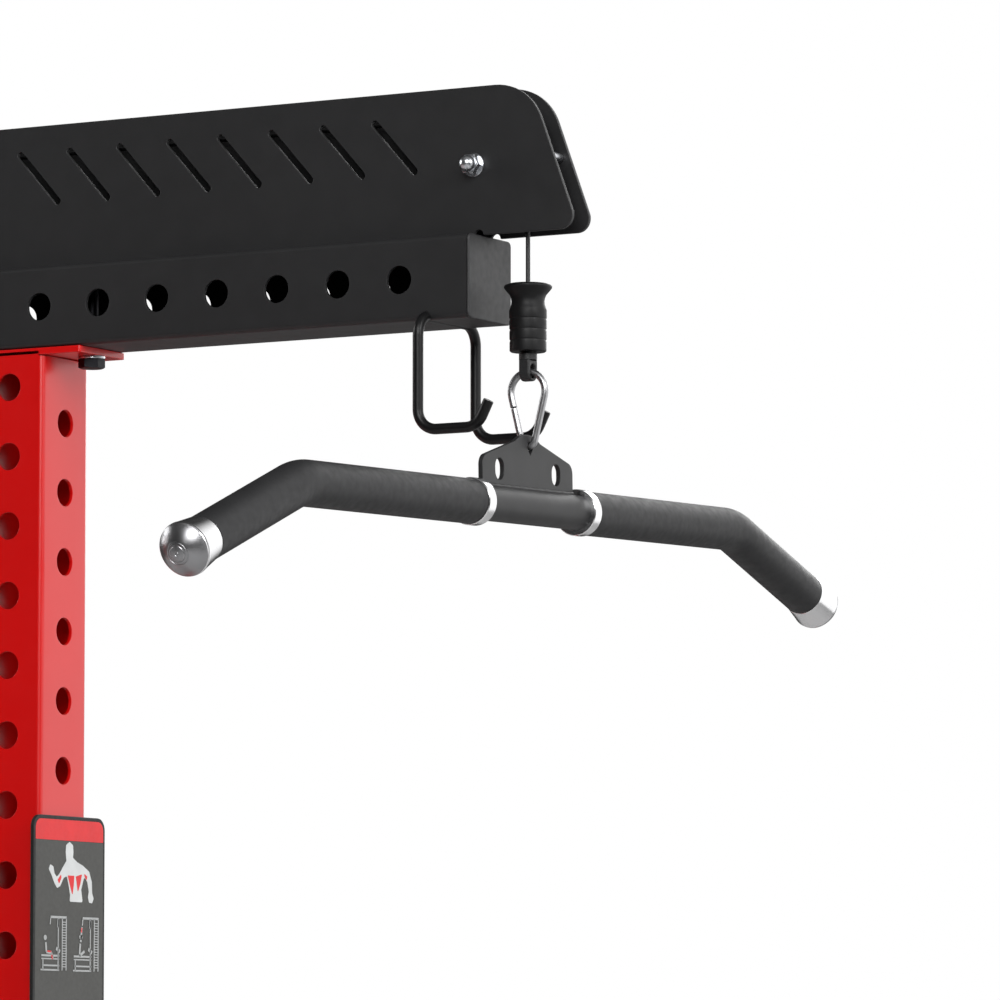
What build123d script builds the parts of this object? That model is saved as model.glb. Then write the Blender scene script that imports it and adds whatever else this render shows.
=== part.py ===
from build123d import *
import math
import os

# Power cage with a lat pulldown tower. Millimetres, +Z up.
# The cage stands at -X and the lat arm points along +X.
# The origin is on the floor, under the middle of the whole object.

# ---------------------------------------------------------------- driving dimensions
TUBE = 60.0                 # square tube across its flats
WALL = 2.5                  # tube wall
TUBE_CORNER = 4.0           # outside corner radius of the tube
PITCH = 50.8                # hole pitch along every upright and along the arm
HOLE_D = 20.0               # hole in uprights and arm
ARM_TOP = 2100.0            # top face of the arm and of the uprights
CAGE_HALF_WIDTH = 560.0     # upright centre plane from the middle plane
FOOT_LENGTH = 120.0         # foot plate along X
FOOT_WIDTH = 100.0          # foot plate along Y
FOOT_THICK = 8.0
PAD_THICK = 4.0             # rubber under each foot plate
END_PLATE = 6.0             # bolted end plates of rails and crossmembers
BOLT_D = 16.0               # frame bolts
BOLT_HOLE_D = 16.5
ANCHOR_HOLE_D = 13.0
ANCHOR_OFFSET = 45.0        # anchor hole from the upright centre
PLATE_CORNER = 8.0          # corner radius of foot plates and pads
FLANGE_THICK = 5.0          # top flange of the lat column
FLANGE_CORNER = 2.0
BOLT_PLAY = 0.5             # radial, holes of the flange and bracket bolts
LID = 2.0                   # visible thickness of a tube's plastic cap
SKIRT = 18.0                # depth of the cap inside the tube

# Arm, pulleys and guard plates, with X measured back from the arm's free end
REAR_UPRIGHT = 790.0        # behind the arm's free end
FRONT_UPRIGHT = 1890.0
COLUMN = 388.0
LAST_ARM_HOLE = 57.1
ARM_HOLES = 14
CAP_THICK = 2.0
PLATE = 3.0                 # guard plate thickness
PLATE_GAP = 21.0            # between the guard plates
PLATE_TOP = 106.0           # height of the guard plates over the arm
NOSE_LEAN = math.radians(20.2)
NOSE_FOOT = 78.2            # where the nose's front edge would meet the arm's top level
NOSE_LOW_R = 10.0
NOSE_HIGH_R = 40.0
PLATE_REAR = 690.0
SLOT_LENGTH = 54.0
SLOT_WIDTH = 5.5
SLOT_TILT = -47.95
SLOT_FIRST = 70.6
SLOT_PITCH = 43.3
SLOT_LEVEL = 67.2
SLOTS = 8
AXLE_X = 5.5                # front pulley axle, behind the free end
AXLE_Z = 50.0               # both axles, over the arm's top
REAR_AXLE_X = 600.0
HANG_X = 30.6               # cable, stopper and lat bar, ahead of the free end
CABLE_R = 1.6

# Lat bar and what it hangs on; levels are measured down from the arm's top
BAR_DROP = 192.7
HANG_DROP = 150.0           # centre of the carabiner's wire in the hanger plate
BAR_TILT = math.radians(1.58)
BAR_R = 12.5
GRIP_R = 15.7
BAR_STRAIGHT = 305.0        # half length up to the bend
BAR_SLOPE = 126.5           # grip along the sloping end
BAR_SHIFT = 3.5             # the bar's middle, towards -Y from the hole it hangs by
BAR_BEND = math.radians(20.06)
BAR_BEND_R = 60.0
COLLAR_INNER = 70.0
COLLAR_OUTER = 80.0
COLLAR_R = 16.6
CLEAR = 0.1                 # fit between pieces of one body

# Weight carriage
ROD_R = 12.5
ROD_SPREAD = 110.0
CARRIAGE_LEVEL = 330.0
CARRIAGE_HEIGHT = 80.0
CARRIAGE_DEPTH = 56.0
CARRIAGE_HALF_WIDTH = 150.0
HORN_R = 24.9
HORN_LENGTH = 270.0

cable_wrap_r = HANG_X + AXLE_X
nose_turn = math.radians(90) + NOSE_LEAN
nose_centre_x = NOSE_FOOT - NOSE_LOW_R * math.tan(nose_turn / 2)
nose_reach = nose_centre_x + NOSE_LOW_R
front_reach = FRONT_UPRIGHT + FOOT_LENGTH / 2
ARM_END = (front_reach - nose_reach) / 2        # X of the arm's free end
column_x = ARM_END - COLUMN
rear_x = ARM_END - REAR_UPRIGHT
front_x = ARM_END - FRONT_UPRIGHT
hang_x = ARM_END + HANG_X
lift_x = ARM_END - REAR_AXLE_X - cable_wrap_r
foot_top = PAD_THICK + FOOT_THICK
tube_top = ARM_TOP - LID
column_top = ARM_TOP - TUBE - FLANGE_THICK
side_rows = [ARM_TOP - 87.6 - PITCH * k for k in range(38)]
front_rows = [ARM_TOP - 113.0 - PITCH * k for k in range(37)]

os.makedirs("parts", exist_ok=True)


def save(piece, label):
    """Label a finished piece and write it as one STEP file."""
    piece.part.label = label
    export_step(piece.part, f"parts/{label}.step")


def tube_section():
    """Square tube section about the current sketch origin."""
    RectangleRounded(TUBE, TUBE, TUBE_CORNER)
    RectangleRounded(TUBE - 2 * WALL, TUBE - 2 * WALL, TUBE_CORNER - WALL, mode=Mode.SUBTRACT)


def facing(x=0.0, y=0.0, z=0.0, axis="Z"):
    """Plane at a point, with its normal along +X, +Y or +Z and its local Y up where it can be."""
    if axis == "X":
        return Plane(origin=(x, y, z), x_dir=(0, 1, 0), z_dir=(1, 0, 0))
    if axis == "Y":
        return Plane(origin=(x, y, z), x_dir=(-1, 0, 0), z_dir=(0, 1, 0))
    return Plane(origin=(x, y, z), x_dir=(1, 0, 0), z_dir=(0, 0, 1))


# ---------------------------------------------------------------- uprights and column
def punch_rows(x, y):
    """Holes right through the tube, in Y at the side rows and in X at the front rows."""
    with Locations(*[(x, y, level) for level in side_rows]):
        Cylinder(HOLE_D / 2, 2 * TUBE, rotation=(90, 0, 0), mode=Mode.SUBTRACT)
    with Locations(*[(x, y, level) for level in front_rows]):
        Cylinder(HOLE_D / 2, 2 * TUBE, rotation=(0, 90, 0), mode=Mode.SUBTRACT)


def foot_outline(x, y, z, length, width, anchors):
    """Outline of a foot plate or pad, with its anchor holes."""
    with BuildSketch(facing(x, y, z)) as outline:
        RectangleRounded(length, width, PLATE_CORNER)
        with Locations(*anchors):
            Circle(ANCHOR_HOLE_D / 2, mode=Mode.SUBTRACT)
    return outline.sketch


corners = {
    "upright_front_right": (front_x, -CAGE_HALF_WIDTH),
    "upright_front_left": (front_x, CAGE_HALF_WIDTH),
    "upright_rear_right": (rear_x, -CAGE_HALF_WIDTH),
    "upright_rear_left": (rear_x, CAGE_HALF_WIDTH),
}
anchor_pair = [(-ANCHOR_OFFSET, 0), (ANCHOR_OFFSET, 0)]
for label, (x, y) in corners.items():
    with BuildPart() as upright:
        with BuildSketch(facing(x, y, foot_top)):
            tube_section()
        extrude(amount=tube_top - foot_top)
        punch_rows(x, y)
        extrude(foot_outline(x, y, PAD_THICK, FOOT_LENGTH, FOOT_WIDTH, anchor_pair), amount=FOOT_THICK)
    save(upright, label)

COLUMN_FOOT_WIDTH = 320.0
FLANGE_HALF = 62.0          # top flange behind and ahead of the column's centre
FLANGE_BOLTS = (-52.5, 52.5)
FLANGE_BOLT_D = 10.0
flange_holes = [(offset, 0) for offset in FLANGE_BOLTS]
column_anchors = [(0, -130), (0, 130)]

with BuildPart() as lat_column:
    with BuildSketch(facing(column_x, 0, foot_top)):
        tube_section()
    extrude(amount=column_top - foot_top)
    punch_rows(column_x, 0)
    column_foot = foot_outline(column_x, 0, PAD_THICK, FOOT_LENGTH, COLUMN_FOOT_WIDTH, column_anchors)
    extrude(column_foot, amount=FOOT_THICK)
    with BuildSketch(facing(column_x, 0, column_top)):
        RectangleRounded(2 * FLANGE_HALF, TUBE, FLANGE_CORNER)
        with Locations(*flange_holes):
            Circle(FLANGE_BOLT_D / 2 + BOLT_PLAY, mode=Mode.SUBTRACT)
    extrude(amount=FLANGE_THICK)
save(lat_column, "lat_column")

bore = TUBE - 2 * WALL
with BuildPart() as upright_top_caps:
    for x, y in corners.values():
        with BuildSketch(facing(x, y, tube_top)):
            RectangleRounded(TUBE, TUBE, TUBE_CORNER)
        extrude(amount=LID)
        with BuildSketch(facing(x, y, tube_top)):
            RectangleRounded(bore - 1, bore - 1, 1)
        extrude(amount=-SKIRT)
save(upright_top_caps, "upright_top_caps")

with BuildPart() as foot_pads:
    for x, y in corners.values():
        extrude(foot_outline(x, y, 0, FOOT_LENGTH, FOOT_WIDTH, anchor_pair), amount=PAD_THICK)
    extrude(foot_outline(column_x, 0, 0, FOOT_LENGTH, COLUMN_FOOT_WIDTH, column_anchors), amount=PAD_THICK)
save(foot_pads, "foot_pads")

# ---------------------------------------------------------------- rails and crossmembers
top_side_holes = side_rows[:2]
top_front_holes = front_rows[:2]
low_side_holes = side_rows[-2:]
low_front_holes = front_rows[-2:]
PLATE_MARGIN = 30.0
BASE_LEVEL = foot_top + TUBE / 2
TOP_LEVEL = ARM_TOP - TUBE / 2
CROSS_BOLTS = (-50.0, 50.0)
CROSS_BOLT_D = 12.0
CROSS_HOLE_D = 12.6
CROSS_PLATE = 150.0


def upright_end_plate(x, y, axis, step, low, high, rows):
    """End plate that bolts to an upright's face, on the tube's side given by step."""
    middle = (low + high) / 2
    with BuildPart() as plate:
        with BuildSketch(facing(x, y, middle, axis)):
            Rectangle(TUBE - TUBE_CORNER, high - low)
            with Locations(*[(0, row - middle) for row in rows]):
                Circle(BOLT_HOLE_D / 2, mode=Mode.SUBTRACT)
        extrude(amount=step * END_PLATE)
    return plate.part


def cross_end_plate(x, level, step):
    """End plate across Y that bolts to a crossmember's face."""
    with BuildPart() as plate:
        with BuildSketch(facing(x, 0, level, "X")):
            Rectangle(CROSS_PLATE, TUBE)
            with Locations(*[(offset, 0) for offset in CROSS_BOLTS]):
                Circle(CROSS_HOLE_D / 2, mode=Mode.SUBTRACT)
        extrude(amount=step * END_PLATE)
    return plate.part


top_plate_low = front_rows[1] - PLATE_MARGIN
low_plate_high = front_rows[-2] + PLATE_MARGIN
side_runs = {
    "top_side_rail_right": (-CAGE_HALF_WIDTH, TOP_LEVEL, top_plate_low, tube_top, top_front_holes),
    "top_side_rail_left": (CAGE_HALF_WIDTH, TOP_LEVEL, top_plate_low, tube_top, top_front_holes),
    "base_side_rail_right": (-CAGE_HALF_WIDTH, BASE_LEVEL, foot_top, low_plate_high, low_front_holes),
    "base_side_rail_left": (CAGE_HALF_WIDTH, BASE_LEVEL, foot_top, low_plate_high, low_front_holes),
}
rail_start = front_x + TUBE / 2
rail_end = rear_x - TUBE / 2
rail_plates = {1: rail_start, -1: rail_end}
for label, (y, level, low, high, rows) in side_runs.items():
    plates = [upright_end_plate(x, y, "X", step, low, high, rows) for step, x in rail_plates.items()]
    with BuildPart() as rail:
        with BuildSketch(facing(rail_start + END_PLATE, y, level, "X")):
            tube_section()
        extrude(amount=rail_end - rail_start - 2 * END_PLATE)
        add(plates)
    save(rail, label)

cross_half = CAGE_HALF_WIDTH - TUBE / 2
cross_runs = {
    "top_rear_crossmember": (TOP_LEVEL, side_rows[1] - PLATE_MARGIN, tube_top, top_side_holes),
    "base_rear_crossmember": (BASE_LEVEL, foot_top, side_rows[-2] + PLATE_MARGIN, low_side_holes),
}
for label, (level, low, high, rows) in cross_runs.items():
    plates = [upright_end_plate(rear_x, -step * cross_half, "Y", step, low, high, rows) for step in (1, -1)]
    with BuildPart() as crossmember:
        with BuildSketch(facing(rear_x, -cross_half + END_PLATE, level, "Y")):
            tube_section()
        extrude(amount=2 * (cross_half - END_PLATE))
        add(plates)
        with BuildSketch(facing(rear_x, 0, level, "X")):
            with Locations(*[(offset, 0) for offset in CROSS_BOLTS]):
                Circle(CROSS_HOLE_D / 2)
        extrude(amount=TUBE, both=True, mode=Mode.SUBTRACT)
    save(crossmember, label)

PULL_UP_R = 16.0
pull_up_low = side_rows[1] - PLATE_MARGIN
pull_up_plates = [
    upright_end_plate(front_x, -step * cross_half, "Y", step, pull_up_low, tube_top, top_side_holes)
    for step in (1, -1)
]
with BuildPart() as pull_up_bar:
    with BuildSketch(facing(front_x, -cross_half + END_PLATE, TOP_LEVEL, "Y")):
        Circle(PULL_UP_R)
        Circle(PULL_UP_R - WALL, mode=Mode.SUBTRACT)
    extrude(amount=2 * (cross_half - END_PLATE))
    add(pull_up_plates)
save(pull_up_bar, "pull_up_bar")

BRACKET_BOLTS = (-24.0, 24.0)
BRACKET_BOLT_D = 6.0
tower_start = rear_x + TUBE / 2
tower_end = column_x - TUBE / 2
tower_plates = [
    cross_end_plate(tower_start, BASE_LEVEL, 1),
    upright_end_plate(tower_end, 0, "X", -1, foot_top, low_plate_high, low_front_holes),
]
with BuildPart() as tower_base_beam:
    with BuildSketch(facing(tower_start + END_PLATE, 0, BASE_LEVEL, "X")):
        tube_section()
    extrude(amount=tower_end - tower_start - 2 * END_PLATE)
    add(tower_plates)
    with BuildSketch(facing(lift_x, 0, BASE_LEVEL)):
        with Locations(*[(offset, 0) for offset in BRACKET_BOLTS]):
            Circle(BRACKET_BOLT_D / 2 + BOLT_PLAY)
    extrude(amount=TUBE, both=True, mode=Mode.SUBTRACT)
save(tower_base_beam, "tower_base_beam")


# ---------------------------------------------------------------- lat arm
HOOK_R = 4.0
HOOK_PLAY = 0.9             # the rod lies in a groove across the arm's underside
HOOK_X = ARM_END - 35.1
HOOK_SPREAD = 40.5
HOOK_BAR_LEVEL = ARM_TOP - 57.0
CABLE_HOLE_D = 14.0

arm_plate = cross_end_plate(tower_start, TOP_LEVEL, 1)
with BuildPart() as arm_beam:
    with BuildSketch(facing(tower_start + END_PLATE, 0, TOP_LEVEL, "X")):
        tube_section()
    extrude(amount=ARM_END - CAP_THICK - tower_start - END_PLATE)
    add(arm_plate)
    for k in range(ARM_HOLES):
        with BuildSketch(facing(ARM_END - LAST_ARM_HOLE - PITCH * k, 0, TOP_LEVEL, "Y")):
            Circle(HOLE_D / 2)
        extrude(amount=TUBE, both=True, mode=Mode.SUBTRACT)
    with BuildSketch(facing(HOOK_X, 0, HOOK_BAR_LEVEL, "Y")):
        Circle(HOOK_R + HOOK_PLAY)
    extrude(amount=TUBE, both=True, mode=Mode.SUBTRACT)
    with BuildSketch(facing(column_x, 0, TOP_LEVEL)):
        with Locations(*flange_holes):
            Circle(FLANGE_BOLT_D / 2 + BOLT_PLAY)
        with Locations((lift_x - column_x, 0)):
            Circle(CABLE_HOLE_D / 2)
        with Locations(*[(lift_x - column_x + offset, 0) for offset in BRACKET_BOLTS]):
            Circle(BRACKET_BOLT_D / 2 + BOLT_PLAY)
    extrude(amount=TUBE, both=True, mode=Mode.SUBTRACT)
save(arm_beam, "arm_beam")

with BuildPart() as arm_end_cap:
    with BuildSketch(facing(ARM_END - CAP_THICK, 0, TOP_LEVEL, "X")):
        RectangleRounded(TUBE, TUBE, TUBE_CORNER)
    extrude(amount=CAP_THICK)
    fillet(arm_end_cap.faces().sort_by(Axis.X)[-1].edges(), 1.2)
    with BuildSketch(facing(ARM_END - CAP_THICK, 0, TOP_LEVEL, "X")):
        RectangleRounded(TUBE - 2 * WALL - 0.6, TUBE - 2 * WALL - 0.6, 1.2)
    extrude(amount=-12)
save(arm_end_cap, "arm_end_cap")

guard_sides = {"guard_plate_right": -PLATE_GAP / 2 - PLATE, "guard_plate_left": PLATE_GAP / 2}
SPACER_R = 5.0
KEEPER_R = 3.5
keepers = [(50.0, 54.0), (-656.0, 54.0)]
spacers = [(-150.0, 20.0), (-270.0, 20.0), (-520.0, 20.0)]
axle_spots = [(-AXLE_X, AXLE_Z), (-REAR_AXLE_X, AXLE_Z)]
AXLE_R = 4.0
NOTCH_X = -1.6
NOTCH_R = 3.8


def arm_side(y):
    """Upright plane along the arm: local X from its free end, local Y up from its top, facing -Y."""
    return Plane(origin=(ARM_END, y, ARM_TOP), x_dir=(1, 0, 0), z_dir=(0, -1, 0))


for label, y in guard_sides.items():
    with BuildPart() as guard_plate:
        with BuildSketch(arm_side(y)) as outline:
            with BuildLine():
                nose_top = NOSE_FOOT - PLATE_TOP * math.tan(NOSE_LEAN)
                Polyline(
                    (-PLATE_REAR, 0), (NOSE_FOOT, 0), (nose_top, PLATE_TOP), (-PLATE_REAR, PLATE_TOP),
                    close=True,
                )
            make_face()
            fillet(outline.vertices().filter_by(lambda v: v.X > 60), NOSE_LOW_R)
            fillet(outline.vertices().filter_by(lambda v: v.Y > 100 and v.X > 0), NOSE_HIGH_R)
            fillet(outline.vertices().filter_by(lambda v: v.Y > 100 and v.X < -600), 30)
            with Locations((NOTCH_X, 0)):
                Circle(NOTCH_R, mode=Mode.SUBTRACT)
            with Locations(*axle_spots):
                Circle(AXLE_R + 0.25, mode=Mode.SUBTRACT)
            with Locations(*[(-SLOT_FIRST - SLOT_PITCH * k, SLOT_LEVEL) for k in range(SLOTS)]):
                SlotOverall(SLOT_LENGTH, SLOT_WIDTH, rotation=SLOT_TILT, mode=Mode.SUBTRACT)
        extrude(amount=-PLATE)
    save(guard_plate, label)

with BuildPart() as guard_spacers:
    with BuildSketch(arm_side(-PLATE_GAP / 2)):
        with Locations(*spacers):
            Circle(SPACER_R)
        with Locations(*keepers):
            Circle(KEEPER_R)
    extrude(amount=-PLATE_GAP)
save(guard_spacers, "guard_spacers")

# ---------------------------------------------------------------- pulleys
PULLEY_R = 42.0
PULLEY_HALF_WIDTH = 9.0
BEARING_R = 11.0
BEARING_HALF_WIDTH = 3.5
GROOVE_PLAY = 0.3
groove_r = cable_wrap_r - CABLE_R - GROOVE_PLAY
# Half of the turned profile as (radius, half width): hub, thin web, rim and cable groove
pulley_profile = [
    (BEARING_R, 5), (20, 5), (24, 3), (30, 3), (33, PULLEY_HALF_WIDTH), (PULLEY_R - 1, PULLEY_HALF_WIDTH),
    (PULLEY_R, 8), (PULLEY_R, 5.5), (groove_r, 2),
]
plate_face = PLATE_GAP / 2 + PLATE
WASHER_THICK = 1.5
NUT_HEX = 6.5
NUT_HEIGHT = 13.5
BOLT_HEAD = 5.3


def axle_point(spot, y=0.0):
    return (ARM_END + spot[0], y, ARM_TOP + spot[1])


for label, spot in zip(("front_pulley", "rear_pulley"), axle_spots):
    axle = Axis(axle_point(spot), (0, 1, 0))
    with BuildPart() as pulley:
        with BuildSketch(Plane(origin=axle_point(spot), x_dir=(1, 0, 0), z_dir=(0, 0, 1))):
            with BuildLine():
                near = [(radius, -half) for radius, half in pulley_profile]
                far = [(radius, half) for radius, half in reversed(pulley_profile)]
                Polyline(*near, *far, close=True)
            make_face()
        revolve(axis=axle)
    save(pulley, label)
    with BuildPart() as bearing:
        bearing_face = axle_point(spot, -BEARING_HALF_WIDTH)
        with BuildSketch(Plane(origin=bearing_face, x_dir=(1, 0, 0), z_dir=(0, 1, 0))):
            Circle(BEARING_R)
            Circle(AXLE_R + 0.05, mode=Mode.SUBTRACT)
        extrude(amount=2 * BEARING_HALF_WIDTH)
    save(bearing, f"{label}_bearing")

with BuildPart() as pulley_side_spacers:
    for step in (1, -1):
        inner_face = step * (BEARING_HALF_WIDTH + 0.3)
        with BuildSketch(arm_side(inner_face)):
            with Locations(*axle_spots):
                Circle(7)
                Circle(AXLE_R + CLEAR, mode=Mode.SUBTRACT)
        extrude(amount=-step * (PLATE_GAP / 2 - abs(inner_face)))
save(pulley_side_spacers, "pulley_side_spacers")

with BuildPart() as pulley_axle_washers:
    for step in (1, -1):
        with BuildSketch(arm_side(step * plate_face)):
            with Locations(*axle_spots):
                Circle(8.4)
                Circle(AXLE_R + CLEAR, mode=Mode.SUBTRACT)
        extrude(amount=-step * WASHER_THICK)
save(pulley_axle_washers, "pulley_axle_washers")

stack = plate_face + WASHER_THICK
with BuildPart() as pulley_axle_bolts:
    with BuildSketch(arm_side(stack)):
        with Locations(*axle_spots):
            RegularPolygon(13 / 2, 6, major_radius=False)
    extrude(amount=-BOLT_HEAD)
    with BuildSketch(arm_side(stack)):
        with Locations(*axle_spots):
            Circle(AXLE_R)
    extrude(amount=2 * stack + 8)
save(pulley_axle_bolts, "pulley_axle_bolts")

with BuildPart() as pulley_axle_cap_nuts:
    with BuildSketch(arm_side(-stack)):
        with Locations(*axle_spots):
            RegularPolygon(13 / 2, 6, major_radius=False)
    extrude(amount=NUT_HEX)
    for spot in axle_spots:
        axle = Axis(axle_point(spot), (0, 1, 0))
        dome_start = -stack - NUT_HEX
        with BuildSketch(Plane(origin=axle_point(spot), x_dir=(1, 0, 0), z_dir=(0, 0, 1))):
            with BuildLine():
                Polyline((0, dome_start), (5.9, dome_start), (5.9, dome_start - 1.1))
                RadiusArc((5.9, dome_start - 1.1), (0, dome_start - NUT_HEIGHT + NUT_HEX), 5.9)
                Line((0, dome_start - NUT_HEIGHT + NUT_HEX), (0, dome_start))
            make_face()
        revolve(axis=axle)
    with BuildSketch(arm_side(-stack)):
        with Locations(*axle_spots):
            Circle(AXLE_R + CLEAR)
    extrude(amount=8.4, mode=Mode.SUBTRACT)
save(pulley_axle_cap_nuts, "pulley_axle_cap_nuts")

# ---------------------------------------------------------------- cable
LUG_BOSS = 40.0             # cable lug on top of the carriage
LUG_BOSS_R = 11.0
CABLE_SET = 15.0            # cable held inside the carriage's lug
carriage_lug_top = CARRIAGE_LEVEL + CARRIAGE_HEIGHT / 2 + LUG_BOSS
STOPPER_TOP = ARM_TOP - 34.5
axle_level = ARM_TOP + AXLE_Z
front_axle_x = ARM_END - AXLE_X
rear_axle_x = ARM_END - REAR_AXLE_X
with BuildPart() as cable_top_run:
    with BuildLine() as over:
        wrap_top = axle_level + cable_wrap_r
        ThreePointArc(
            (hang_x, 0, axle_level),
            (front_axle_x + cable_wrap_r * math.sqrt(0.5), 0, axle_level + cable_wrap_r * math.sqrt(0.5)),
            (front_axle_x, 0, wrap_top),
        )
        Line((front_axle_x, 0, wrap_top), (rear_axle_x, 0, wrap_top))
        ThreePointArc(
            (rear_axle_x, 0, wrap_top),
            (rear_axle_x - cable_wrap_r * math.sqrt(0.5), 0, axle_level + cable_wrap_r * math.sqrt(0.5)),
            (lift_x, 0, axle_level),
        )
    with BuildSketch(facing(hang_x, 0, axle_level)):
        Circle(CABLE_R)
    sweep()
save(cable_top_run, "cable_top_run")

with BuildPart() as cable_front_run:
    with BuildSketch(facing(hang_x, 0, STOPPER_TOP - 20)):
        Circle(CABLE_R)
    extrude(amount=axle_level - STOPPER_TOP + 20)
save(cable_front_run, "cable_front_run")

with BuildPart() as cable_rear_run:
    with BuildSketch(facing(lift_x, 0, carriage_lug_top - CABLE_SET)):
        Circle(CABLE_R)
    extrude(amount=axle_level - carriage_lug_top + CABLE_SET)
save(cable_rear_run, "cable_rear_run")


# ---------------------------------------------------------------- stopper, lug and carabiner
def hang_section():
    """Upright plane through the hanging axis: local X outward, local Y up from the arm's top."""
    return Plane(origin=(hang_x, 0, ARM_TOP), x_dir=(1, 0, 0), z_dir=(0, -1, 0))


hang_axis = Axis((hang_x, 0, 0), (0, 0, 1))
STOPPER_BOTTOM = -83.3
NECK_R = 4.0
HEAD_R = 6.4
with BuildPart() as cable_stopper:
    with BuildSketch(hang_section()):
        with BuildLine():
            Polyline(
                (NECK_R + 0.05, -73), (NECK_R + 0.05, STOPPER_BOTTOM), (12.2, STOPPER_BOTTOM), (13.0, -82.5),
                (13.0, -76.5), (12.5, -75.8), (12.5, -75.0), (13.1, -74.3), (13.1, -69.0), (12.6, -68.3),
                (12.6, -67.5), (13.2, -66.8), (13.2, -61.5), (12.7, -60.8), (12.7, -60.0), (13.3, -59.3),
                (13.3, -54.0),
            )
            Spline((13.3, -54.0), (11.5, -48.0), (12.9, -42.5), (16.9, -38.0))
            Polyline(
                (16.9, -38.0), (17.0, -36.8), (14.0, -35.4), (CABLE_R + CLEAR, -34.5), (CABLE_R + CLEAR, -55),
                (0, -55), (0, -68), (HEAD_R + 0.4, -68), (HEAD_R + 0.4, -73), (NECK_R + 0.05, -73),
            )
        make_face()
    revolve(axis=hang_axis)
save(cable_stopper, "cable_stopper")

LUG_R = 6.4
LUG_BOTTOM = -104.0
with BuildPart() as cable_end_lug:
    with BuildSketch(hang_section()):
        with BuildLine():
            Polyline(
                (0, -69.3), (HEAD_R, -69.3), (HEAD_R, -72.7), (NECK_R, -72.7), (NECK_R, -83.6),
                (LUG_R, -83.6), (LUG_R, LUG_BOTTOM + 2.5), (LUG_R - 2.5, LUG_BOTTOM), (0, LUG_BOTTOM),
                close=True,
            )
        make_face()
    revolve(axis=hang_axis)
    with BuildSketch(Plane(origin=(hang_x, 0, ARM_TOP - 96.9), x_dir=(0, 1, 0), z_dir=(1, 0, 0))):
        SlotOverall(10.0, 6.6, rotation=90)
    extrude(amount=20, both=True, mode=Mode.SUBTRACT)
save(cable_end_lug, "cable_end_lug")

WIRE_R = 2.5
RING_HIGH_R = 13.6
RING_LOW_R = 5.5
ring_high = -97.4 - RING_HIGH_R
ring_low = -HANG_DROP + RING_LOW_R
ring_lean = math.asin((RING_HIGH_R - RING_LOW_R) / (ring_high - ring_low))
high_tangent = (RING_HIGH_R * math.cos(ring_lean), ring_high - RING_HIGH_R * math.sin(ring_lean))
low_tangent = (RING_LOW_R * math.cos(ring_lean), ring_low - RING_LOW_R * math.sin(ring_lean))
GATE_START = 0.26           # share of the left leg, from the top, where the gate begins
GATE_HINGE = 0.82


def left_leg(share):
    """Point on the left leg, from its top tangent (0) to its bottom tangent (1)."""
    x = high_tangent[0] + (low_tangent[0] - high_tangent[0]) * share
    z = high_tangent[1] + (low_tangent[1] - high_tangent[1]) * share
    return (hang_x - x, 0, ARM_TOP + z)


def ring_point(x, z):
    return (hang_x + x, 0, ARM_TOP + z)


gate_lean = Vector(*left_leg(1)) - Vector(*left_leg(0))
with BuildPart() as carabiner_body:
    with BuildLine():
        Line(left_leg(GATE_START - 0.02), left_leg(0))
        ThreePointArc(left_leg(0), ring_point(0, ring_high + RING_HIGH_R), ring_point(*high_tangent))
        Line(ring_point(*high_tangent), ring_point(*low_tangent))
        ThreePointArc(ring_point(*low_tangent), ring_point(0, -HANG_DROP), left_leg(1))
        Line(left_leg(1), left_leg(GATE_HINGE + 0.1))
    with BuildSketch(Plane(origin=left_leg(GATE_START - 0.02), z_dir=-gate_lean)):
        Circle(WIRE_R)
    sweep()
save(carabiner_body, "carabiner_body")

with BuildPart() as carabiner_gate:
    with BuildSketch(Plane(origin=left_leg(GATE_START), z_dir=gate_lean)):
        Circle(WIRE_R - 0.2)
    extrude(amount=gate_lean.length * (GATE_HINGE - GATE_START))
    with Locations(left_leg(GATE_HINGE)):
        Sphere(WIRE_R - 0.2)
save(carabiner_gate, "carabiner_gate")

# ---------------------------------------------------------------- lat bar
# The bar's own plane faces +X; local X runs along the bar and local Y up, from the wire's level.
bar_along = Vector(0, math.cos(BAR_TILT), math.sin(BAR_TILT))
bar_up = Vector(0, -math.sin(BAR_TILT), math.cos(BAR_TILT))
bar_origin = Vector(hang_x, 0, ARM_TOP - HANG_DROP) - bar_along * BAR_SHIFT
BAR_LEVEL = HANG_DROP - BAR_DROP
HANGER_THICK = 3.6


def bar_plane(x=0.0):
    return Plane(origin=bar_origin + Vector(x, 0, 0), x_dir=bar_along, z_dir=(1, 0, 0))


def bar_point(along, up):
    return bar_origin + bar_along * along + bar_up * up


slope_run = BAR_SLOPE * math.cos(BAR_BEND)
slope_fall = BAR_SLOPE * math.sin(BAR_BEND)
TUBE_PAST_GRIP = 20.0
past = (BAR_SLOPE + TUBE_PAST_GRIP) / BAR_SLOPE


def bar_end(side, share=1.0):
    """Point on the bar's axis at a share of the sloping end."""
    return bar_point(side * (BAR_STRAIGHT + slope_run * share), BAR_LEVEL - slope_fall * share)


with BuildPart() as lat_bar_tube:
    with BuildLine():
        FilletPolyline(
            bar_end(-1, past), bar_point(-BAR_STRAIGHT, BAR_LEVEL), bar_point(BAR_STRAIGHT, BAR_LEVEL),
            bar_end(1, past), radius=BAR_BEND_R,
        )
    start_run = bar_point(-BAR_STRAIGHT, BAR_LEVEL) - bar_end(-1)
    with BuildSketch(Plane(origin=bar_end(-1, past), z_dir=start_run)):
        Circle(BAR_R)
        Circle(BAR_R - WALL, mode=Mode.SUBTRACT)
    sweep()
save(lat_bar_tube, "lat_bar_tube")

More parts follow.
